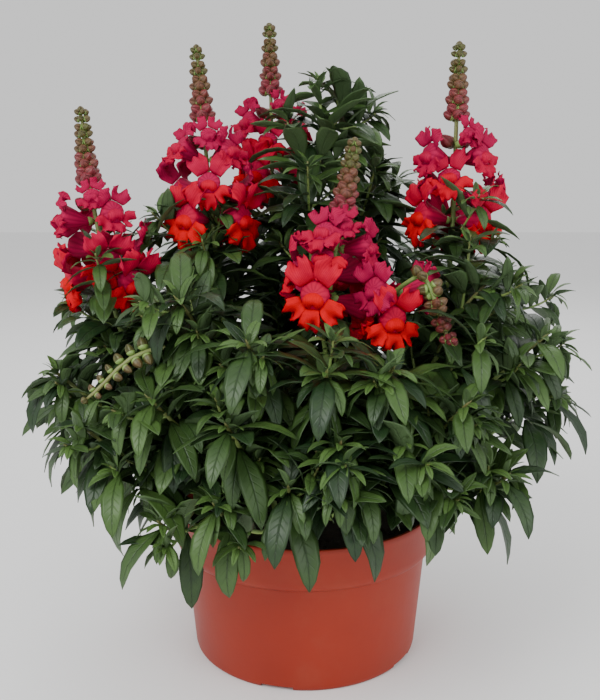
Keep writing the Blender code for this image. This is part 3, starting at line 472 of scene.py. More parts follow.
class Reader:
    """Finds the leaves, buds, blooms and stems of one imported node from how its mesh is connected."""

    MOUTH_RADIUS = 7.8 * MM
    MOUTH_SHARE = 0.92
    BLOOM_REACH = 23 * MM
    LEAF_THICKEST = 1.3 * MM
    LEAF_NARROWEST = 3.4 * MM
    BUD_SIDES = (3.1 * MM, 8.3 * MM)
    SQUARE = 1.25
    RING = 4
    LEAF_RINGS = 3
    JOIN = 0.01 * MM
    TIP_HALF = 0.3 * MM

    def __init__(self, node: str) -> None:
        """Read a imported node's mesh and sort it out."""
        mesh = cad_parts[node].data
        raw = np.zeros(len(mesh.vertices) * 3)
        mesh.vertices.foreach_get("co", raw)
        keys = np.round(raw.reshape(-1, 3) / self.JOIN).astype(np.int64)
        _, first, index = np.unique(keys, axis=0, return_index=True, return_inverse=True)
        self.points = raw.reshape(-1, 3)[first]
        index = index.reshape(-1)
        self.links: list[set[int]] = [set() for _ in self.points]
        for polygon in mesh.polygons:
            corners = [int(index[v]) for v in polygon.vertices]
            for here, after in zip(corners, corners[1:] + corners[:1]):
                if here != after:
                    self.links[here].add(after)
                    self.links[after].add(here)
        self.used: set[int] = set()
        self.leaves: list[LeafSeat] = []
        self.buds: list[BudSeat] = []
        self.blooms: list[BloomSeat] = []
        self.shoots: list[ShootSeat] = []
        self._sort()

    def _layers(self, tip: int, depth: int, closed: set[int]) -> list[list[int]]:
        """The rings of four round a tip, outwards, while they stay rings of four."""
        seen = {tip} | closed
        layer = [tip]
        found = []
        while len(found) < depth:
            layer = sorted({other for vertex in layer for other in self.links[vertex]} - seen)
            if len(layer) != self.RING:
                break
            seen |= set(layer)
            found.append(layer)
        return found

    def _sides(self, ring: list[int]) -> tuple[np.ndarray, float, float]:
        """The long direction of a ring of four, and its long and short sides."""
        corners = self.points[ring]
        steps = sorted((float(np.linalg.norm(corners[0] - corners[k])), k) for k in (1, 2, 3))
        short, long = steps[0][0], steps[1][0]
        return unit(corners[steps[1][1]] - corners[0]), long, short

    def _sort(self) -> None:
        """Name every tip as a bloom, a leaf, a bud or the end of a stem."""
        ends = []
        for tip, linked in enumerate(self.links):
            if len(linked) != self.RING:
                continue
            rings = self._layers(tip, self.LEAF_RINGS, set())
            if not rings:
                continue
            way, long, short = self._sides(rings[0])
            square = long < self.SQUARE * short
            least, most = self.BUD_SIDES
            if short < self.LEAF_THICKEST and long > self.LEAF_NARROWEST and len(rings) == self.LEAF_RINGS:
                self._add_leaf(tip, rings)
            elif short > most and square:
                self._add_bloom(tip, rings[0])
            elif short > least and square and len(rings) > 1:
                self.buds.append(BudSeat(self._middle(rings[1]), self.points[tip], short / 2))
                self.used |= {tip} | set(rings[0])
            elif short < least and square:
                ends.append(tip)
        self._trace(ends)

    def _middle(self, ring: list[int]) -> np.ndarray:
        """The centre of a ring."""
        return self.points[ring].mean(axis=0)

    def _add_leaf(self, tip: int, rings: list[list[int]]) -> None:
        """Keep one leaf."""
        spine = np.array([*(self._middle(ring) for ring in rings[::-1]), self.points[tip]])
        way_low, long, _ = self._sides(rings[1])
        way_high, _, _ = self._sides(rings[0])
        if way_low.dot(way_high) < 0:
            way_high = -way_high
        self.leaves.append(LeafSeat(spine, np.array([way_low, way_high]), long / 2))
        self.used |= {tip} | set(rings[0]) | set(rings[1])

    def _add_bloom(self, tip: int, mouth: list[int]) -> None:
        """Keep one bloom, from its palate and the four corners of its mouth."""
        corners = self.points[mouth]
        centre = corners.mean(axis=0)
        far = int(np.argmax(np.linalg.norm(corners - corners[0], axis=1)))
        others = [k for k in (1, 2, 3) if k != far]
        normal = unit(np.cross(corners[far] - corners[0], corners[others[1]] - corners[others[0]]))
        if normal.dot(self.points[tip] - centre) < 0:
            normal = -normal
        spread = corners - centre
        up = unit(spread[int(np.argmax(spread[:, 2]))])
        size = float(np.linalg.norm(spread, axis=1).mean()) / self.MOUTH_RADIUS
        root = centre - normal * self.BLOOM_REACH * size * self.MOUTH_SHARE
        self.blooms.append(BloomSeat(root, normal, up, size))

    def _trace(self, ends: list[int]) -> None:
        """Follow every stem from its end back to its root, the longest last."""
        chains: dict[int, list[list[int]]] = {end: [] for end in ends}
        grown = True
        while grown:
            grown = False
            for end in ends:
                others = {v for key, rings in chains.items() if key != end for ring in rings for v in ring}
                rings = self._layers(end, len(self.points), self.used | others)
                if len(rings) > len(chains[end]):
                    chains[end] = rings
                    grown = True
        for end, rings in chains.items():
            if not rings:
                continue
            centres = [self.points[end]] + [self._middle(ring) for ring in rings]
            halves = [self.TIP_HALF] + [self._sides(ring)[2] / 2 for ring in rings]
            self.shoots.append(ShootSeat(np.array(centres), np.array(halves)))


# Modelling templates


def deselect() -> None:
    """Deselect every object."""
    if bpy.context.mode != "OBJECT":
        bpy.ops.object.mode_set(mode="OBJECT")
    bpy.ops.object.select_all(action="DESELECT")


def choose(piece: bpy.types.Object) -> None:
    """Make one piece the only one selected, and the active one."""
    deselect()
    piece.select_set(True)
    bpy.context.view_layer.objects.active = piece


def start_disc(sides: int, radius: float) -> bpy.types.Object:
    """Add a disc and select all of it in edit mode."""
    deselect()
    bpy.ops.mesh.primitive_circle_add(vertices=sides, radius=radius, fill_type="NGON", location=(0, 0, 0))
    bpy.ops.object.mode_set(mode="EDIT")
    bpy.ops.mesh.select_all(action="SELECT")
    return bpy.context.object


def close_edit() -> None:
    """Turn all the faces outwards and leave edit mode."""
    bpy.ops.mesh.select_all(action="SELECT")
    bpy.ops.mesh.normals_make_consistent(inside=False)
    bpy.ops.object.mode_set(mode="OBJECT")


def finish_modifiers(piece: bpy.types.Object) -> None:
    """Apply every modifier of the piece."""
    choose(piece)
    for modifier in list(piece.modifiers):
        bpy.ops.object.modifier_apply(modifier=modifier.name)


@dataclass
class Template:
    """A shape that is copied many times: its points and faces, and each point's flat pair and rose value."""

    points: np.ndarray
    faces: list[tuple[int, ...]]
    flat: np.ndarray
    rose: np.ndarray

    @staticmethod
    def from_piece(piece: bpy.types.Object, flat: np.ndarray | None = None) -> "Template":
        """Take a modelled piece's mesh and remove the piece.

        Args:
            piece: the modelled object.
            flat: the flat coordinates, or None for its x and y.

        Returns:
            The template.
        """
        mesh = piece.data
        points = np.array([tuple(v.co) for v in mesh.vertices])
        faces = [tuple(p.vertices) for p in mesh.polygons]
        flat = points[:, :2] if flat is None else flat
        bpy.data.objects.remove(piece)
        bpy.data.meshes.remove(mesh)
        return Template(points, faces, flat, np.zeros(len(points)))

    @staticmethod
    def drawn_out(sides: int, axis: str, rows: tuple[tuple[float, float], ...]) -> "Template":
        """Model a long round shape from a disc that is drawn out row by row.

        Args:
            sides: how many sides it has.
            axis: the way it is drawn, "X" or "Y".
            rows: the place along the axis and the radius of each row.

        Returns:
            The template.
        """
        piece = start_disc(sides, rows[0][1])
        along_x = axis == "X"
        way = Vector((along_x, not along_x, 0))
        hinge = "Y" if along_x else "X"
        bpy.ops.transform.rotate(value=math.pi / 2, orient_axis=hinge, center_override=(0, 0, 0))
        for (start, before), (end, after) in zip(rows, rows[1:]):
            bpy.ops.mesh.extrude_region_move(TRANSFORM_OT_translate={"value": way * (end - start)})
            ratio = after / before
            if ratio != 1:
                size = (1, ratio, ratio) if along_x else (ratio, 1, ratio)
                bpy.ops.transform.resize(value=size, center_override=way * end)
        close_edit()
        return Template.from_piece(piece)

    @staticmethod
    def joined(parts: list["Template"]) -> "Template":
        """Several templates as one."""
        faces: list[tuple[int, ...]] = []
        start = 0
        for part in parts:
            faces += [tuple(start + v for v in face) for face in part.faces]
            start += len(part.points)
        keys = ("points", "flat", "rose")
        points, flat, rose = (np.concatenate([getattr(part, key) for part in parts]) for key in keys)
        return Template(points, faces, flat, rose)


def leaf_template() -> Template:
    """A lanceolate leaf in its own space: x across from -1 to 1, y along from 0 to 1, z its thickness."""
    sides = 8
    rows = ((0.0, 0.13), (0.13, 0.42), (0.29, 0.84), (0.48, 1.0), (0.69, 0.86), (0.88, 0.48), (1.0, 0.03))
    thickness = 0.038
    keel = 0.20
    fold_power = 1.4
    template = Template.drawn_out(sides, "Y", rows)
    points = template.points
    points[:, 1] = np.abs(points[:, 1])
    half = np.interp(points[:, 1], *zip(*rows))
    across = points[:, 0] / half
    template.flat = np.stack([across * 0.5 + 0.5, points[:, 1]], axis=1)
    upper = np.sign(np.round(points[:, 2] / half, 3))
    fold = keel * np.abs(across) ** fold_power * half
    points[:, 2] = upper * thickness * (1 - across**2) + fold
    template.rose = (upper < 0).astype(float)
    return template


def rod_template() -> Template:
    """A round rod in its own space, one unit in radius, y along from 0 to 1, that stems are laid from."""
    sides = 8
    rows = 26
    template = Template.drawn_out(sides, "Y", tuple((k / rows, 1.0) for k in range(rows + 1)))
    points = template.points
    template.flat = np.stack([np.arctan2(points[:, 2], points[:, 0]) / math.tau + 0.5, points[:, 1]], axis=1)
    return template


@dataclass
class PetalPattern:
    """One lobe of a bloom, a ruffled sheet drawn from the mouth and curled back, in mm and degrees."""

    COLUMNS, ROWS = 12, 8
    MOUTH = 6.4
    START = 16.6
    THICKNESS = 0.35
    FOOT_SHARE = 0.60
    TAPER_FROM, TAPER = 0.72, 0.9
    CLEFT, CLEFT_SHARPNESS = 0.16, 2.8
    ROUND_OFF = 0.16
    TOOTH, TEETH = 0.13, 8
    RUFFLES, EDGE_RUFFLES, EDGE_SHARE = 4.6, 13, 0.6
    DISH = 0.8
    CRUMPLE = 1.7
    BACK_ROSE = 0.35

    bearing: float
    length: float
    half_width: float
    lift: float
    curl: float
    ruffle: float
    phase: float
    rose: float

    def model(self) -> Template:
        """Model the lobe from a grid that gets its curl, round outline and ruffle, then its thickness."""
        deselect()
        bpy.ops.mesh.primitive_grid_add(x_subdivisions=self.COLUMNS, y_subdivisions=self.ROWS, size=2)
        piece = bpy.context.object
        spine, normals, tangent = self._spine()
        outward = (spine[-1] - spine[0]) / self.length
        flat = []
        for vertex in piece.data.vertices:
            u, v = vertex.co.x, (vertex.co.y + 1) / 2
            place = min(v * self.ROWS, self.ROWS - 1e-6)
            low = int(place)
            centre = spine[low] * (1 - place + low) + spine[low + 1] * (place - low)
            offset = tangent * (u * self._width(v)) + normals[low] * self._wave(u, v)
            offset += outward * self._edge(u, v)
            vertex.co = Vector(centre + offset)
            flat.append((u * 0.5 + 0.5, 0.25 + 0.75 * v))
        sheet = piece.modifiers.new("thickness", "SOLIDIFY")
        sheet.thickness = self.THICKNESS
        sheet.offset = 0
        finish_modifiers(piece)
        count = len(flat)
        template = Template.from_piece(piece, np.array(flat * 2))
        gap = template.points[:count].mean(axis=0) - template.points[count:].mean(axis=0)
        back = slice(count, None) if float(gap.dot(normals[2])) > 0 else slice(0, count)
        template.rose += self.rose
        template.rose[back] += self.BACK_ROSE
        return template

    def _spine(self) -> tuple[list[np.ndarray], list[np.ndarray], np.ndarray]:
        """The lobe's middle line from the mouth to its edge, its normals there, and its way across."""
        turn = math.radians(self.bearing)
        radial = np.array((0.0, math.sin(turn), math.cos(turn)))
        forward = np.array((1.0, 0.0, 0.0))
        spine, normals = [radial * self.MOUTH + forward * self.START], []
        for k in range(self.ROWS):
            angle = math.radians(self.lift + (self.curl - self.lift) * (k / self.ROWS) ** 0.8)
            normals.append(swung(forward, -radial, angle))
            spine.append(spine[-1] + swung(radial, forward, angle) * self.length / self.ROWS)
        return spine, normals, np.array((0.0, math.cos(turn), -math.sin(turn)))

    def _width(self, v: float) -> float:
        """Half the width at a height."""
        swell = math.sin(math.pi * min(v * 1.05, 1.0) * 0.62)
        taper = 1 - self.TAPER * max(v - self.TAPER_FROM, 0) ** 1.2
        return self.half_width * (self.FOOT_SHARE + (1 - self.FOOT_SHARE) * swell) * taper

    def _edge(self, u: float, v: float) -> float:
        """How far the outline stands out: cleft in the middle, round at the sides, toothed between."""
        cleft = -self.CLEFT * v**5 * math.exp(-((u * self.CLEFT_SHARPNESS) ** 2))
        round_off = -self.ROUND_OFF * v**3 * abs(u) ** 3
        tooth = self.TOOTH * v**4 * math.sin(self.TEETH * u + self.phase) * (0.4 + abs(u))
        return self.length * (cleft + round_off + tooth)

    def _wave(self, u: float, v: float) -> float:
        """How far the sheet waves out of its own plane."""
        ripple = v**1.5 * math.sin(self.RUFFLES * u + self.phase)
        edge = self.EDGE_SHARE * u * u * v * math.sin(self.EDGE_RUFFLES * v + self.phase)
        crumple = noise.noise(Vector((u * 2.6, v * 3.2, self.phase))) * self.CRUMPLE * v
        return self.ruffle * (ripple + edge) - (1 - u * u) * v * self.DISH + crumple


@dataclass
class BloomPattern:
    """A whole bloom along +X in mm: tube, two-humped palate, two upper lobes and three lower ones."""

    # Bearing, length, half width, lift, curl and rose of each lobe.
    LOBES = (
        (-33, 14.5, 6.4, 58, -34, 0.45),
        (33, 14.5, 6.4, 58, -34, 0.45),
        (-126, 11.6, 5.6, 40, -62, 0.0),
        (126, 11.6, 5.6, 40, -62, 0.0),
        (180, 12.2, 5.4, 38, -58, 0.0),
    )
    RUFFLE = (1.7, 3.2)
    TUBE = (
        (0.0, 1.5), (3.2, 2.4), (6.5, 3.7), (10.0, 4.9), (13.5, 6.0), (16.4, 6.7), (17.6, 5.6), (18.0, 3.0),
    )
    TUBE_SIDES = 14
    BELLY = 0.10
    PLEATS, PLEAT_DEPTH = 5, 0.06
    PALATE_SIZE = (4.4, 5.2, 3.8)
    PALATE_SPOT = (17.2, 0.0, -2.6)
    FURROW, FURROW_SHARPNESS = 0.48, 4.0

    rng: random.Random
    openness: float

    def tube(self) -> Template:
        """Model the bellied tube."""
        template = Template.drawn_out(self.TUBE_SIDES, "X", self.TUBE)
        points = template.points
        points[:, 0] = np.abs(points[:, 0])
        around = np.arctan2(points[:, 1], points[:, 2])
        share = points[:, 0] / self.TUBE[-1][0]
        belly = 1 + self.BELLY * np.sin(np.pi * share) * (1 - np.cos(around))
        points[:, 1:] *= (belly * (1 + self.PLEAT_DEPTH * np.cos(self.PLEATS * around) * share))[:, None]
        template.flat = np.stack([around / math.tau + 0.5, 0.35 + share * 0.3], axis=1)
        template.rose = 0.95 - 0.25 * share
        return template

    def palate(self) -> Template:
        """Model the two-humped palate that closes the mouth."""
        deselect()
        bpy.ops.mesh.primitive_uv_sphere_add(segments=14, ring_count=8, radius=1.0)
        template = Template.from_piece(bpy.context.object)
        points = template.points
        furrow = np.exp(-((points[:, 1] * self.FURROW_SHARPNESS) ** 2)) * (points[:, 2] < 0.8)
        points[:, ::2] *= (1 - self.FURROW * furrow)[:, None]
        points *= self.PALATE_SIZE
        points += self.PALATE_SPOT
        template.flat = np.stack([points[:, 1] / 14 + 0.5, np.full(len(points), 0.6)], axis=1)
        template.rose += 0.05
        return template

    def model(self) -> Template:
        """Model the whole bloom."""
        draw = self.rng.uniform
        wide = self.openness
        parts = [self.tube(), self.palate()]
        for bearing, length, width, lift, curl, rose in self.LOBES:
            ruffle, phase = draw(*self.RUFFLE), draw(0, math.tau)
            size = (length * wide * draw(0.92, 1.08), width)
            bend = (lift + draw(-6, 6), (curl + draw(-10, 10)) * wide)
            parts.append(PetalPattern(bearing + draw(-4, 4), *size, *bend, ruffle, phase, rose).model())
        return Template.joined(parts)


def bud_template() -> Template:
    """A plump pleated bud along +X, one unit long and one in radius."""
    deselect()
    bpy.ops.mesh.primitive_uv_sphere_add(segments=10, ring_count=7, radius=1.0)
    template = Template.from_piece(bpy.context.object)
    x, y, z = template.points.T
    around = np.arctan2(y, x)
    along = z * 0.5 + 0.5
    radius = np.hypot(x, y) * (1.12 - 0.45 * along**2) * (1 + 0.07 * np.cos(5 * around))
    template.points = np.stack([along, radius * np.cos(around), radius * np.sin(around)], axis=1)
    template.flat = np.stack([around / math.tau + 0.5, along], axis=1)
    template.rose = along
    return template


# Growing fine pieces


@dataclass
class Clump:
    """One piece under construction: the copies that are grown into it, with their layers and materials."""

    name: str
    slot: Slot
    finishes: list[bpy.types.Material]
    points: list[np.ndarray] = field(default_factory=list)
    faces: list[tuple[int, ...]] = field(default_factory=list)
    flat: list[np.ndarray] = field(default_factory=list)
    layers: dict[Layer, list[np.ndarray]] = field(default_factory=lambda: {layer: [] for layer in Layer})
    paint: list[int] = field(default_factory=list)
    count: int = 0

    def add(
        self,
        template: Template,
        points: np.ndarray,
        paint: int,
        tint: np.ndarray | float,
        under: np.ndarray | float = 0.0,
        rose: np.ndarray | float = 0.0,
    ) -> None:
        """Grow one copy of a template.

        Args:
            template: the shape copied.
            points: its points where the copy lies.
            paint: the place of its material in finishes.
            tint: a number from 0 to 1 that is the copy's own.
            under: 1 on the undersides.
            rose: 0 for scarlet or green, 1 for rose.
        """
        size = len(points)
        self.points.append(points)
        self.faces += [tuple(self.count + v for v in face) for face in template.faces]
        self.flat.append(template.flat)
        self.paint += [paint] * len(template.faces)
        for layer, value in ((Layer.TINT, tint), (Layer.UNDER, under), (Layer.ROSE, rose)):
            self.layers[layer].append(np.broadcast_to(np.asarray(value, float), (size,)))
        self.count += size

    def build(self, nodes: tuple[str, ...]) -> None:
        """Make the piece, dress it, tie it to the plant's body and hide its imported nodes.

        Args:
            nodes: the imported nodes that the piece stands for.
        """
        mesh = bpy.data.meshes.new(self.name)
        low, high = (np.array(tuple(corner)) for corner in CAD_BOX)
        points = np.clip(np.concatenate(self.points), low, high)
        mesh.from_pydata(points.tolist(), [], self.faces)
        flat = np.concatenate(self.flat)
        corners = np.zeros(len(mesh.loops), np.int32)
        mesh.loops.foreach_get("vertex_index", corners)
        grain = mesh.uv_layers.new(name="grain")
        grain.data.foreach_set("uv", flat[corners].reshape(-1))
        for layer, values in self.layers.items():
            attribute = mesh.attributes.new(layer.value, "FLOAT", "POINT")
            attribute.data.foreach_set("value", np.concatenate(values))
        for finish in self.finishes:
            mesh.materials.append(finish)
        mesh.polygons.foreach_set("material_index", np.array(self.paint, np.int32))
        mesh.polygons.foreach_set("use_smooth", np.ones(len(mesh.polygons), bool))
        mesh.update()
        piece = bpy.data.objects.new(self.name, mesh)
        bpy.context.scene.collection.objects.link(piece)
        settle(piece, nodes)


def settle(piece: bpy.types.Object, nodes: tuple[str, ...]) -> None:
    """Tie a finished piece to the plant's one body and hide the nodes that it stands for."""
    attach(piece, "root")
    if nodes:
        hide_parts(*nodes)
    LOG.info("%s: %d faces", piece.name, len(piece.data.polygons))


class Foliage:
    """Lays leaves and stems of any bend from the one leaf and the one rod that were modelled."""

    ROUNDING = 1.12
    TWIST_FROM, TWIST_OVER = 0.42, 0.34
    ARCH = ((0.40, 0.12), (0.34, 0.5), (0.26, 0.95))  # share of the length, and of the droop, at each third
    HALF_WIDTH = (0.14, 0.185)

    def __init__(self, leaf: Template, rod: Template, rng: random.Random) -> None:
        """Keep the modelled leaf and rod."""
        self.leaf = leaf
        self.rod = rod
        self.rng = rng

    def lay(
        self, clump: Clump, spine: np.ndarray, across: np.ndarray, half_width: float, tint: float
    ) -> None:
        """Lay one leaf along a midrib.

        Args:
            clump: the piece it joins.
            spine: four points of its midrib.
            across: its across vector low down and high up.
            half_width: its half width.
            tint: its own shade.
        """
        shape = self.leaf.points
        along = shape[:, 1]
        ahead = spline(spine, np.minimum(along + 0.03, 1.0)) - spline(spine, np.maximum(along - 0.03, 0.0))
        ahead = unit_rows(ahead)
        share = np.clip((along - self.TWIST_FROM) / self.TWIST_OVER, 0, 1)[:, None]
        side = across[0] * (1 - share) + across[1] * share
        side = unit_rows(side - ahead * (side * ahead).sum(axis=1)[:, None])
        over = np.cross(side, ahead)
        if over[:, 2].mean() < 0:
            side, over = -side, -over
        draw = self.rng.uniform
        wave = draw(-0.10, 0.10) * np.sin(along * draw(6, 11) + draw(0, 6))
        lift = shape[:, 2:3] + wave[:, None] * shape[:, 0:1]
        points = spline(spine, along) + (side * shape[:, 0:1] + over * lift) * half_width
        clump.add(self.leaf, points, 0, tint, under=self.leaf.rose)

    def sprout(
        self, clump: Clump, root: np.ndarray, way: np.ndarray, length: float, droop: float, tint: float
    ) -> None:
        """Grow a new leaf that leaves its root in one way and arches over.

        Args:
            clump: the piece it joins.
            root: where it starts.
            way: the way it leaves.
            length: its length.
            droop: how far it bends down, in radians.
            tint: its own shade.
        """
        side = np.cross(way, UP)
        side = unit(side) if np.linalg.norm(side) > 0.05 else np.array((1.0, 0.0, 0.0))
        over = np.cross(side, way)
        spine = [root]
        for share, turn in self.ARCH:
            spine.append(spine[-1] + unit(swung(way, -over, droop * turn)) * length * share)
        across = swung(side, over, self.rng.uniform(-0.5, 0.5))
        half_width = length * self.rng.uniform(*self.HALF_WIDTH)
        self.lay(clump, np.array(spine), np.array([across, across]), half_width, tint)

    def stem(self, clump: Clump, shoot: ShootSeat) -> None:
        """Lay a round stem through a shoot's rings.

        Args:
            clump: the piece it joins.
            shoot: the rings.
        """
        shape = self.rod.points
        marks = lengths_along(shoot.centres)
        rows, row = np.unique(np.round(shape[:, 1], 4), return_inverse=True)
        centres = spline(shoot.centres, rows)
        ahead = unit_rows(np.gradient(centres, axis=0))
        side = unit(np.cross(ahead[0], ROD_ASKEW))
        sides = []
        for way in ahead:
            side = unit(side - way * side.dot(way))
            sides.append(side)
        radii = (np.interp(rows, marks / marks[-1], shoot.halves) * self.ROUNDING)[row][:, None]
        offset = shape[:, 0:1] * np.array(sides)[row] + shape[:, 2:3] * np.cross(sides, ahead)[row]
        clump.add(self.rod, centres[row] + radii * offset, 1, 1 - shape[:, 1])


@dataclass
class GreenStem:
    """One green node: its stems, its leaves, the extra leaves that fill it out, and its buds.

    Shoots are read from their tip down. Along the first stretch, bare, no extra leaf grows.
    """

    UPRIGHT = 0.86
    UPRIGHT_SHARE = 0.6
    LEAF_WIDTH = 0.96
    CUP_SHARE = 0.62
    NEIGHBOUR_TURN, NEIGHBOUR_STEP = math.radians(45), 4.6 * MM
    HEART_LEAVES = 8
    TWIG_RADII = np.array((0.6, 0.8, 0.9, 1.0)) * MM
    TWIG_SHORTEST = 22
    TWIG_LOWEST, TWIG_WIDE = 0.150, 0.125
    STEM_FOOT = 15 * MM
    LEAF_STEP, LOWEST_LEAF = 7.0 * MM, 0.118
    LEAF_SPREAD, LEAF_DROOP = (45, 85), (0.2, 1.15)
    LEAF_SHORTEST, LEAF_LONGEST, LEAF_GROWTH = 22 * MM, 48 * MM, 0.7
    POT_WIDE, POT_TOP = 0.104, 0.120
    FRONT_WIDE, FRONT_LOWEST = 0.115, 0.135

    node: str
    slot: Slot
    foliage: Foliage
    bud: Template
    finishes: list[bpy.types.Material]
    rng: random.Random
    bare: float = 0.0
    blush: float = 1.0
    crowded: bool = False
    twig_step: float = 26.0 * MM
    longest_twig: float = 42.0
    fill_reach: float = 130 * MM

    def build(self) -> None:
        """Build the node's fine piece."""
        reader = Reader(self.node)
        clump = Clump(self.node + "_fine", self.slot, self.finishes)
        for shoot in reader.shoots:
            self.foliage.stem(clump, shoot)
        for leaf in reader.leaves:
            root = leaf.spine[0]
            share = self.UPRIGHT_SHARE if unit(leaf.spine[-1] - root)[2] > self.UPRIGHT else 1.0
            spine = root + (leaf.spine - root) * share
            half_width = leaf.half_width * self.LEAF_WIDTH * share
            self.foliage.lay(clump, spine, leaf.across, half_width, self._shade())
        for shoot in reader.shoots:
            if self.bare:
                self._end_bud(clump, shoot)
            else:
                self._heart(clump, shoot)
            self._fill(clump, shoot)
            self._branch(clump, shoot)
        heights = [bud.tip[2] for bud in reader.buds] or [0.0]
        for bud in reader.buds:
            age = (max(heights) - bud.tip[2]) / max(max(heights) - min(heights), MM)
            rose = self.blush * min(1.0, max(0.0, 0.9 * age**1.6 + self.rng.uniform(-0.05, 0.2)))
            fullness = (BUD_FULLNESS if self.crowded else 1.0) * self.rng.uniform(0.84, 1.12)
            for seat in [bud] + ([self._between(bud, reader.shoots[-1])] if self.crowded else []):
                lay_bud(clump, self.bud, seat, 2, rose, fullness)
                cup = BudSeat(seat.root, seat.root + (seat.tip - seat.root) * self.CUP_SHARE, seat.half_width)
                lay_bud(clump, self.bud, cup, 1, 0.3, fullness * 0.98)
        found = map(len, (reader.leaves, reader.shoots, reader.buds))
        LOG.info("%s: %d leaves, %d shoots, %d buds", self.node, *found)
        clump.build((self.node,))

    def _shade(self) -> float:
        """A leaf's own shade."""
        return self.rng.uniform(0.0, 0.8) ** 1.3

    def _between(self, bud: BudSeat, shoot: ShootSeat) -> BudSeat:
        """A bud's neighbour, an eighth of a turn further round and half a ring higher."""
        near = int(np.argmin(np.linalg.norm(shoot.centres - bud.root, axis=1)))
        centre = shoot.centres[near]
        way = unit(shoot.centres[max(near - 1, 0)] - shoot.centres[near + (near == 0)])
        axis = centre + way * float((bud.root - centre).dot(way))
        turn = Matrix.Rotation(self.NEIGHBOUR_TURN + self.rng.uniform(-0.2, 0.2), 3, Vector(way))
        higher = axis + way * self.NEIGHBOUR_STEP
        root, tip = (np.array(turn @ Vector(point - axis)) * 0.94 + higher for point in (bud.root, bud.tip))
        return BudSeat(root, tip, bud.half_width * 0.92)

    def _end_bud(self, clump: Clump, shoot: ShootSeat) -> None:
        """The small bud on a flower stem's very tip."""
        tip = shoot.centres[0]
        way = unit(tip - shoot.centres[1])
        lay_bud(clump, self.bud, BudSeat(tip - way * 4 * MM, tip + way * 0.5 * MM, 2.0 * MM), 2, 0.1)

    def _heart(self, clump: Clump, shoot: ShootSeat) -> None:
        """Grow the small young leaves of a shoot's heart, longer and more open further down."""
        tip = shoot.centres[0]
        end_way = unit(tip - shoot.centres[min(3, len(shoot.centres) - 1)])
        side, over = square_ways(end_way)
        for k in range(self.HEART_LEAVES):
            out = swung(side, over, k * GOLDEN_TURN + self.rng.uniform(-0.3, 0.3))
            way = unit(swung(end_way, out, 0.30 + 0.12 * k))
            length = (9 + 2.6 * k) * self.rng.uniform(0.85, 1.1) * MM
            root = tip - end_way * (3 + k) * MM
            self.foliage.sprout(clump, root, way, length, 0.4 + 0.1 * k, min(1.0, 1.5 - 0.13 * k))

    def _branch(self, clump: Clump, shoot: ShootSeat) -> None:
        """Grow short twigs, each with a heart and a few leaves, out of a stem."""
        total = lengths_along(shoot.centres)[-1]
        mark = self.bare + self.twig_step
        turn = self.rng.uniform(0, 6)
        while mark < min(total - self.STEM_FOOT, self.bare + self.fill_reach * 1.5):
            centre, way = self._read(shoot, mark / total)
            outward = unit(np.array((centre[0], centre[1], 0.0)))
            start = unit(way * 0.6 + swung(*square_ways(way), turn) * 0.9 + outward * 0.5)
            end = unit(start + UP * 0.7)
            length = self.rng.uniform(self.TWIG_SHORTEST, self.longest_twig) * MM
            bend = centre + start * length * 0.5
            tip = bend + end * length * 0.5
            if tip[2] > self.TWIG_LOWEST or math.hypot(tip[0], tip[1]) > self.TWIG_WIDE:
                seats = np.array([tip, bend + end * length * 0.2, bend - start * length * 0.2, centre])
                twig = ShootSeat(seats, self.TWIG_RADII)
                self.foliage.stem(clump, twig)
                self._heart(clump, twig)
                self._fill(clump, twig, 5 * MM)
            turn += GOLDEN_TURN
            mark += self.twig_step * self.rng.uniform(0.7, 1.2)

    def _fill(self, clump: Clump, shoot: ShootSeat, start: float | None = None) -> None:
        """Grow extra pairs of leaves down the length of a shoot.

        Args:
            clump: the piece they join.
            shoot: the shoot.
            start: how far from its tip they begin on a twig, or None on a main shoot.
        """
        total = lengths_along(shoot.centres)[-1]
        mark = self.bare + 12 * MM if start is None else start
        bare = self.bare if start is None else 0.0
        turn = self.rng.uniform(0, 6)
        while mark < min(total - 6 * MM, self.bare + self.fill_reach):
            centre, way = self._read(shoot, mark / total)
            if centre[2] < self.LOWEST_LEAF:
                break
            side, over = square_ways(way)
            for half in (0, math.pi):
                out = swung(side, over, turn + half + self.rng.uniform(-0.35, 0.35))
                leaf_way = unit(swung(way, out, math.radians(self.rng.uniform(*self.LEAF_SPREAD))))
                longest = min(self.LEAF_LONGEST, self.LEAF_SHORTEST + (mark - bare) * self.LEAF_GROWTH)
                self._sprout_clear(clump, centre, leaf_way, longest * self.rng.uniform(0.8, 1.15))
            turn += math.pi / 2 + self.rng.uniform(-0.4, 0.4)
            mark += self.LEAF_STEP * self.rng.uniform(0.8, 1.3)

    def _sprout_clear(self, clump: Clump, root: np.ndarray, way: np.ndarray, length: float) -> None:
        """Grow an extra leaf unless it would reach the pot or soil, or hang low in front of the pot."""
        x, y, z = root + unit(way + UP * -0.55) * length * 0.9
        in_pot = math.hypot(x, y) < self.POT_WIDE and z < self.POT_TOP
        in_front = abs(x) < self.FRONT_WIDE and y < 0 and z < self.FRONT_LOWEST
        if not in_pot and not in_front:
            self.foliage.sprout(clump, root, way, length, self.rng.uniform(*self.LEAF_DROOP), self._shade())

    @staticmethod
    def _read(shoot: ShootSeat, place: float) -> tuple[np.ndarray, np.ndarray]:
        """The centre and the way towards the tip at a share of the shoot's length from its tip."""
        here, after = spline(shoot.centres, np.array([place, min(place + 0.02, 1.0)]))
        return here, unit(here - after)


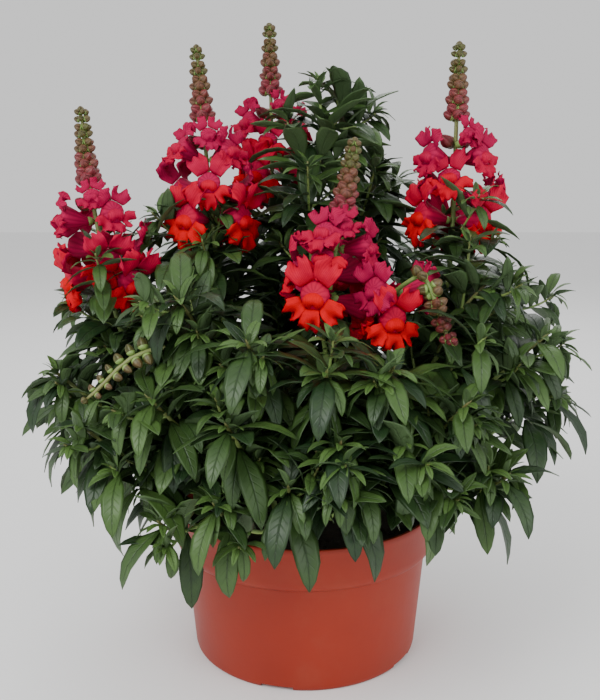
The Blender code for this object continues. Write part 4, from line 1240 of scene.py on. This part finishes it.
def lay_bud(
    clump: Clump, template: Template, bud: BudSeat, paint: int, rose: float, fullness: float = BUD_FULLNESS
) -> None:
    """Copy the bud along a packed bud.

    Args:
        clump: the piece it joins.
        template: the modelled bud.
        bud: where it lies.
        paint: the place of its material.
        rose: how far it has coloured.
        fullness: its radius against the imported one's half width.
    """
    way = unit(bud.tip - bud.root)
    side, under = square_ways(way, BUD_ASKEW)
    along, across, up = template.points.T
    offset = np.outer(across, side) - np.outer(up, under)
    points = bud.root + np.outer(along, bud.tip - bud.root) + bud.half_width * fullness * offset
    clump.add(template, points, paint, rose, rose=np.clip(rose * (0.5 + template.rose), 0, 1))


@dataclass
class FlowerHead:
    """One head of blooms: each fine bloom lies over its packed one."""

    FULLNESS = 1.36
    OPENING_SIZE = 0.66
    YOUNG_FROM = 0.72
    FRONT_RIGHT = np.array((0.8, -0.6, 0.0))
    # Where the calyx starts and ends on the bloom's axis, and its half width.
    CALYX = (-1.0 * MM, 6.0 * MM, 2.3 * MM)

    node: str
    blooms: list[Template]
    young: list[Template]
    bud: Template
    finishes: list[bpy.types.Material]
    rng: random.Random

    def build(self) -> None:
        """Build the head's fine piece."""
        reader = Reader(self.node)
        self._open_bud(reader)
        clump = Clump(self.node + "_fine", Slot.BLOOM, self.finishes)
        draw = self.rng.uniform
        low = min(seat.root[2] for seat in reader.blooms)
        high = max(seat.root[2] for seat in reader.blooms) + 1e-6
        start, end, half_width = self.CALYX
        for seat in reader.blooms:
            age = (seat.root[2] - low) / (high - low)
            template = self.rng.choice(self.young if age > self.YOUNG_FROM else self.blooms)
            lean = seat.up * draw(-0.30, 0.12) + np.cross(seat.up, seat.way) * draw(-0.28, 0.28)
            way = unit(seat.way + lean)
            rise = unit(seat.up - way * seat.up.dot(way))
            shape = template.points * MM * seat.size * self.FULLNESS
            points = seat.root + shape @ np.array([way, np.cross(rise, way), rise])
            rose = np.clip(template.rose + 1.1 * max(age - 0.12, 0) + draw(-0.1, 0.12), 0, 1)
            clump.add(template, points, 0, draw(0.2, 1.0), rose=rose)
            calyx = BudSeat(seat.root + seat.way * start, seat.root + seat.way * end, half_width)
            lay_bud(clump, self.bud, calyx, 1, 0.0)
        for bud in reader.buds:
            lay_bud(clump, self.bud, bud, 2, draw(0.7, 1.0))
        LOG.info("%s: %d blooms, %d buds", self.node, len(reader.blooms), len(reader.buds))
        clump.build((self.node,))

    def _open_bud(self, reader: Reader) -> None:
        """Let the coloured bud that looks most to the front right open as a small bloom."""
        if not reader.buds:
            return
        faced = [float((seat.tip - seat.root).dot(self.FRONT_RIGHT)) for seat in reader.buds]
        bud = reader.buds.pop(int(np.argmax(faced)))
        way = unit(bud.tip - bud.root)
        reader.blooms.append(BloomSeat(bud.root, way, unit(UP - way * UP.dot(way)), self.OPENING_SIZE))


# Pot and soil


@dataclass
class Pot:
    """The turned pot: its outline runs from the pad under it, up its outer side and down its inner one."""

    rim: float = 100.0
    height: float = 113.0
    body_top: float = 93.3
    base: float = 86.3
    band_foot: float = 81.0
    wall: float = 2.6
    floor: float = 6.0
    pad: float = 16.0
    foot_depth: float = 3.0
    sides: int = 120
    smooth_angle: float = 40.0
    notches: int = 5
    notch_size: tuple[float, float, float] = (14.0, 24.0, 5.4)
    notch_bearing: float = -104.0
    drains: int = 4
    drain_sides: int = 24
    drain_circle: float = 55.0
    drain_radius: float = 4.5
    drain_depth: float = 14.0

    def outline(self) -> list[tuple[float, float]]:
        """Radius and height along the outline, in millimetres."""
        base, top, rim, foot, lip = self.base, self.body_top, self.rim, self.band_foot, self.height
        inner = rim - self.wall
        return [
            (self.pad, 0), (self.pad + 1, self.foot_depth), (base - 6, self.foot_depth), (base - 5, 0),
            (base - 1.4, 0), (base - 0.5, 0.9), (base + 0.1, 3.2), (top, foot - 0.4),
            (top + 1.4, foot - 0.2), (top + 3.4, foot + 0.7), (rim - 1.8, foot + 2.4), (rim - 0.7, foot + 5),
            (rim - 0.4, foot + 8), (rim - 0.3, lip - 4.6), (rim, lip - 4.0), (rim, lip - 0.9),
            (rim - 0.5, lip - 0.1), (rim - 1.2, lip), (inner + 0.4, lip), (inner, lip - 0.6),
            (inner - 0.6, foot + 12), (top - self.wall, foot + 3), (base - self.wall, self.floor),
        ]

    def build(self, finish: bpy.types.Material) -> None:
        """Build the pot from a disc whose edge is drawn round the outline."""
        (radius, height), *rest = self.outline()
        pot = start_disc(self.sides, radius * MM)
        pot.name = "pot_fine"
        bpy.ops.mesh.region_to_loop()
        for after, up in rest:
            bpy.ops.mesh.extrude_edges_move(TRANSFORM_OT_translate={"value": (0, 0, (up - height) * MM)})
            ratio = after / radius
            bpy.ops.transform.resize(value=(ratio, ratio, 1), center_override=(0, 0, 0))
            radius, height = after, up
        bpy.ops.mesh.edge_face_add()
        close_edit()
        cutters = [self._notch(k) for k in range(self.notches)] + [self._drain(k) for k in range(self.drains)]
        for cutter in cutters:
            cut = pot.modifiers.new("cut", "BOOLEAN")
            cut.operation = "DIFFERENCE"
            cut.object = cutter
            cut.solver = "EXACT"
        finish_modifiers(pot)
        for cutter in cutters:
            bpy.data.objects.remove(cutter)
        choose(pot)
        bpy.ops.object.shade_smooth_by_angle(angle=math.radians(self.smooth_angle))
        pot.data.materials.append(finish)
        settle(pot, ("pot",))

    def _notch(self, place: int) -> bpy.types.Object:
        """One cutter for a gap in the foot ring."""
        deselect()
        turn = math.radians(self.notch_bearing + 360 * place / self.notches)
        reach = (self.base - 2) * MM
        spot = (reach * math.cos(turn), reach * math.sin(turn), 0)
        bpy.ops.mesh.primitive_cube_add(size=1, location=spot, rotation=(0, 0, turn))
        bpy.context.object.scale = Vector(self.notch_size) * MM
        bpy.ops.object.transform_apply(location=True, rotation=True, scale=True)
        return bpy.context.object

    def _drain(self, place: int) -> bpy.types.Object:
        """One cutter for a drain hole."""
        deselect()
        turn = math.tau * (place + 0.5) / self.drains
        reach = self.drain_circle * MM
        bpy.ops.mesh.primitive_cylinder_add(
            vertices=self.drain_sides,
            radius=self.drain_radius * MM,
            depth=self.drain_depth * MM,
            location=(reach * math.cos(turn), reach * math.sin(turn), self.floor * MM / 2),
        )
        bpy.ops.object.transform_apply(location=True, rotation=True, scale=True)
        return bpy.context.object


@dataclass
class Soil:
    """The crowned soil with its lumps, and loose crumbs on it."""

    edge: float = 96.0
    crown: float = 4.0
    radius: float = 95.6
    depth: float = 12.0
    sides: int = 96
    rings: int = 26
    crumbs: int = 420
    crumb_radius: tuple[float, float] = (0.7, 2.4)

    def build(self, finish: bpy.types.Material, rng: random.Random) -> None:
        """Build the soil's surface and its crumbs."""
        deselect()
        bpy.ops.mesh.primitive_cylinder_add(
            vertices=self.sides,
            radius=self.radius * MM,
            depth=self.depth * MM,
            location=(0, 0, (self.edge - self.depth / 2) * MM),
        )
        soil = bpy.context.object
        soil.name = "soil_fine"
        bpy.ops.object.transform_apply(location=True, rotation=True, scale=True)
        bpy.ops.object.mode_set(mode="EDIT")
        bpy.ops.mesh.select_all(action="DESELECT")
        bpy.ops.object.mode_set(mode="OBJECT")
        max(soil.data.polygons, key=lambda polygon: polygon.center.z).select = True
        bpy.ops.object.mode_set(mode="EDIT")
        for _ in range(self.rings):
            bpy.ops.mesh.inset(thickness=self.radius * MM / (self.rings + 1.5))
        bpy.ops.object.mode_set(mode="OBJECT")
        for vertex in soil.data.vertices:
            if vertex.co.z > (self.edge - 1) * MM:
                out = math.hypot(vertex.co.x, vertex.co.y) / (self.radius * MM)
                lump = noise.noise(vertex.co * 90) * 1.6 + noise.noise(vertex.co * 260) * 0.9
                vertex.co.z += (self.crown * (1 - out**2) + lump * (1 - 0.6 * out)) * MM
        soil.data.materials.append(finish)
        soil.data.shade_smooth()
        settle(soil, ("soil",))
        self._scatter(finish, rng)

    def _scatter(self, finish: bpy.types.Material, rng: random.Random) -> None:
        """Scatter crumbs of soil over the surface."""
        deselect()
        bpy.ops.mesh.primitive_ico_sphere_add(subdivisions=1, radius=1.0)
        crumb = Template.from_piece(bpy.context.object)
        clump = Clump("soil_crumbs", Slot.SOIL, [finish])
        for _ in range(self.crumbs):
            out = math.sqrt(rng.random()) * (self.radius - 4)
            turn = rng.uniform(0, math.tau)
            size = rng.uniform(*self.crumb_radius) * MM
            height = self.edge + self.crown * (1 - (out / self.radius) ** 2)
            spot = np.array((out * math.cos(turn), out * math.sin(turn), height)) * MM
            jag = np.array([1 + rng.uniform(-0.35, 0.35) for _ in crumb.points])[:, None]
            stretch = np.array((rng.uniform(0.7, 1.5), rng.uniform(0.7, 1.3), rng.uniform(0.5, 0.9)))
            clump.add(crumb, spot + crumb.points * jag * stretch * size, 0, rng.random())
        clump.build(())


# Stage


@dataclass
class Studio:
    """The pale floor, the soft lights and the camera at the photograph's angle."""

    # Name, place, side and power of each light.
    LAMPS = (
        ("key", (-0.75, -1.05, 1.25), 0.9, 22.0),
        ("fill", (1.15, -0.85, 0.75), 1.1, 10.0),
        ("back", (0.2, 1.2, 1.3), 1.0, 9.0),
    )

    aim: tuple[float, float, float] = (0.0, 0.0, 0.22)
    floor_side: float = 8.0
    floor_drop: float = 0.4 * MM
    daylight: float = 0.9
    distance: float = 0.690
    height: float = 0.374
    shift: float = -0.004
    pitch: float = 11.73
    focal_pixels: float = 936.0
    frame_pixels: float = 700.0

    def build(self, finish: bpy.types.Material) -> None:
        """Build the floor, the lights, the world and the camera."""
        deselect()
        bpy.ops.mesh.primitive_plane_add(size=self.floor_side, location=(0, 0, -self.floor_drop))
        floor = bpy.context.object
        floor.name = "floor"
        floor.data.materials.append(finish)
        for name, spot, side, power in self.LAMPS:
            light = bpy.data.lights.new(name, "AREA")
            light.size = side
            light.energy = power
            turn = (Vector(self.aim) - Vector(spot)).to_track_quat("-Z", "Y").to_euler()
            self._place(light, spot, turn)
        world = bpy.context.scene.world or bpy.data.worlds.new("studio")
        bpy.context.scene.world = world
        world.use_nodes = True
        backdrop = world.node_tree.nodes["Background"]
        backdrop.inputs["Color"].default_value = (1.0, 1.0, 1.0, 1)
        backdrop.inputs["Strength"].default_value = self.daylight
        data = bpy.data.cameras.new("camera")
        data.lens = self.focal_pixels * data.sensor_width / self.frame_pixels
        turn = (math.radians(90 - self.pitch), 0, 0)
        bpy.context.scene.camera = self._place(data, (self.shift, -self.distance, self.height), turn)

    @staticmethod
    def _place(data: bpy.types.ID, spot: tuple[float, float, float], turn: object) -> bpy.types.Object:
        """Put a light or the camera in the scene."""
        placed = bpy.data.objects.new(data.name, data)
        placed.location = spot
        placed.rotation_euler = turn
        bpy.context.scene.collection.objects.link(placed)
        return placed


def main() -> None:
    """Build every piece in order, then the stage."""
    logging.basicConfig(level=logging.INFO, format="%(name)s: %(message)s")
    rng = random.Random(SEED)
    deep_leaf, young_leaf = leaf_finish("leaf_finish", **DEEP_LEAF), leaf_finish("young_finish", **YOUNG_LEAF)
    stem, petal, bud_skin = stem_finish(), petal_finish(), bud_finish()
    leaf, bud = leaf_template(), bud_template()
    blooms = [BloomPattern(rng, openness).model() for openness in OPEN_BLOOMS]
    young = [BloomPattern(rng, openness).model() for openness in YOUNG_BLOOMS]
    Pot().build(pot_finish())
    Soil().build(peat_finish(), rng)
    foliage = Foliage(leaf, rod_template(), rng)
    green = (foliage, bud, [deep_leaf, stem, bud_skin], rng)
    pale = (foliage, bud, [young_leaf, stem, bud_skin], rng)
    for node in sorted(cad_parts):
        if node.startswith("flower_head"):
            FlowerHead(node, blooms, young, bud, [petal, stem, bud_skin], rng).build()
        elif node.startswith("flower_stem"):
            GreenStem(node, Slot.LEAF, *green, **FLOWER_STEM, **THICK).build()
        elif node.startswith("leafy_stem"):
            GreenStem(node, Slot.LEAF, *green, **(THICK if node in UPPER_STEMS else {})).build()
        elif node == "young_raceme":
            GreenStem(node, Slot.YOUNG, *pale, **YOUNG_RACEME).build()
    Studio().build(floor_finish())


if __name__ == "__main__":
    main()
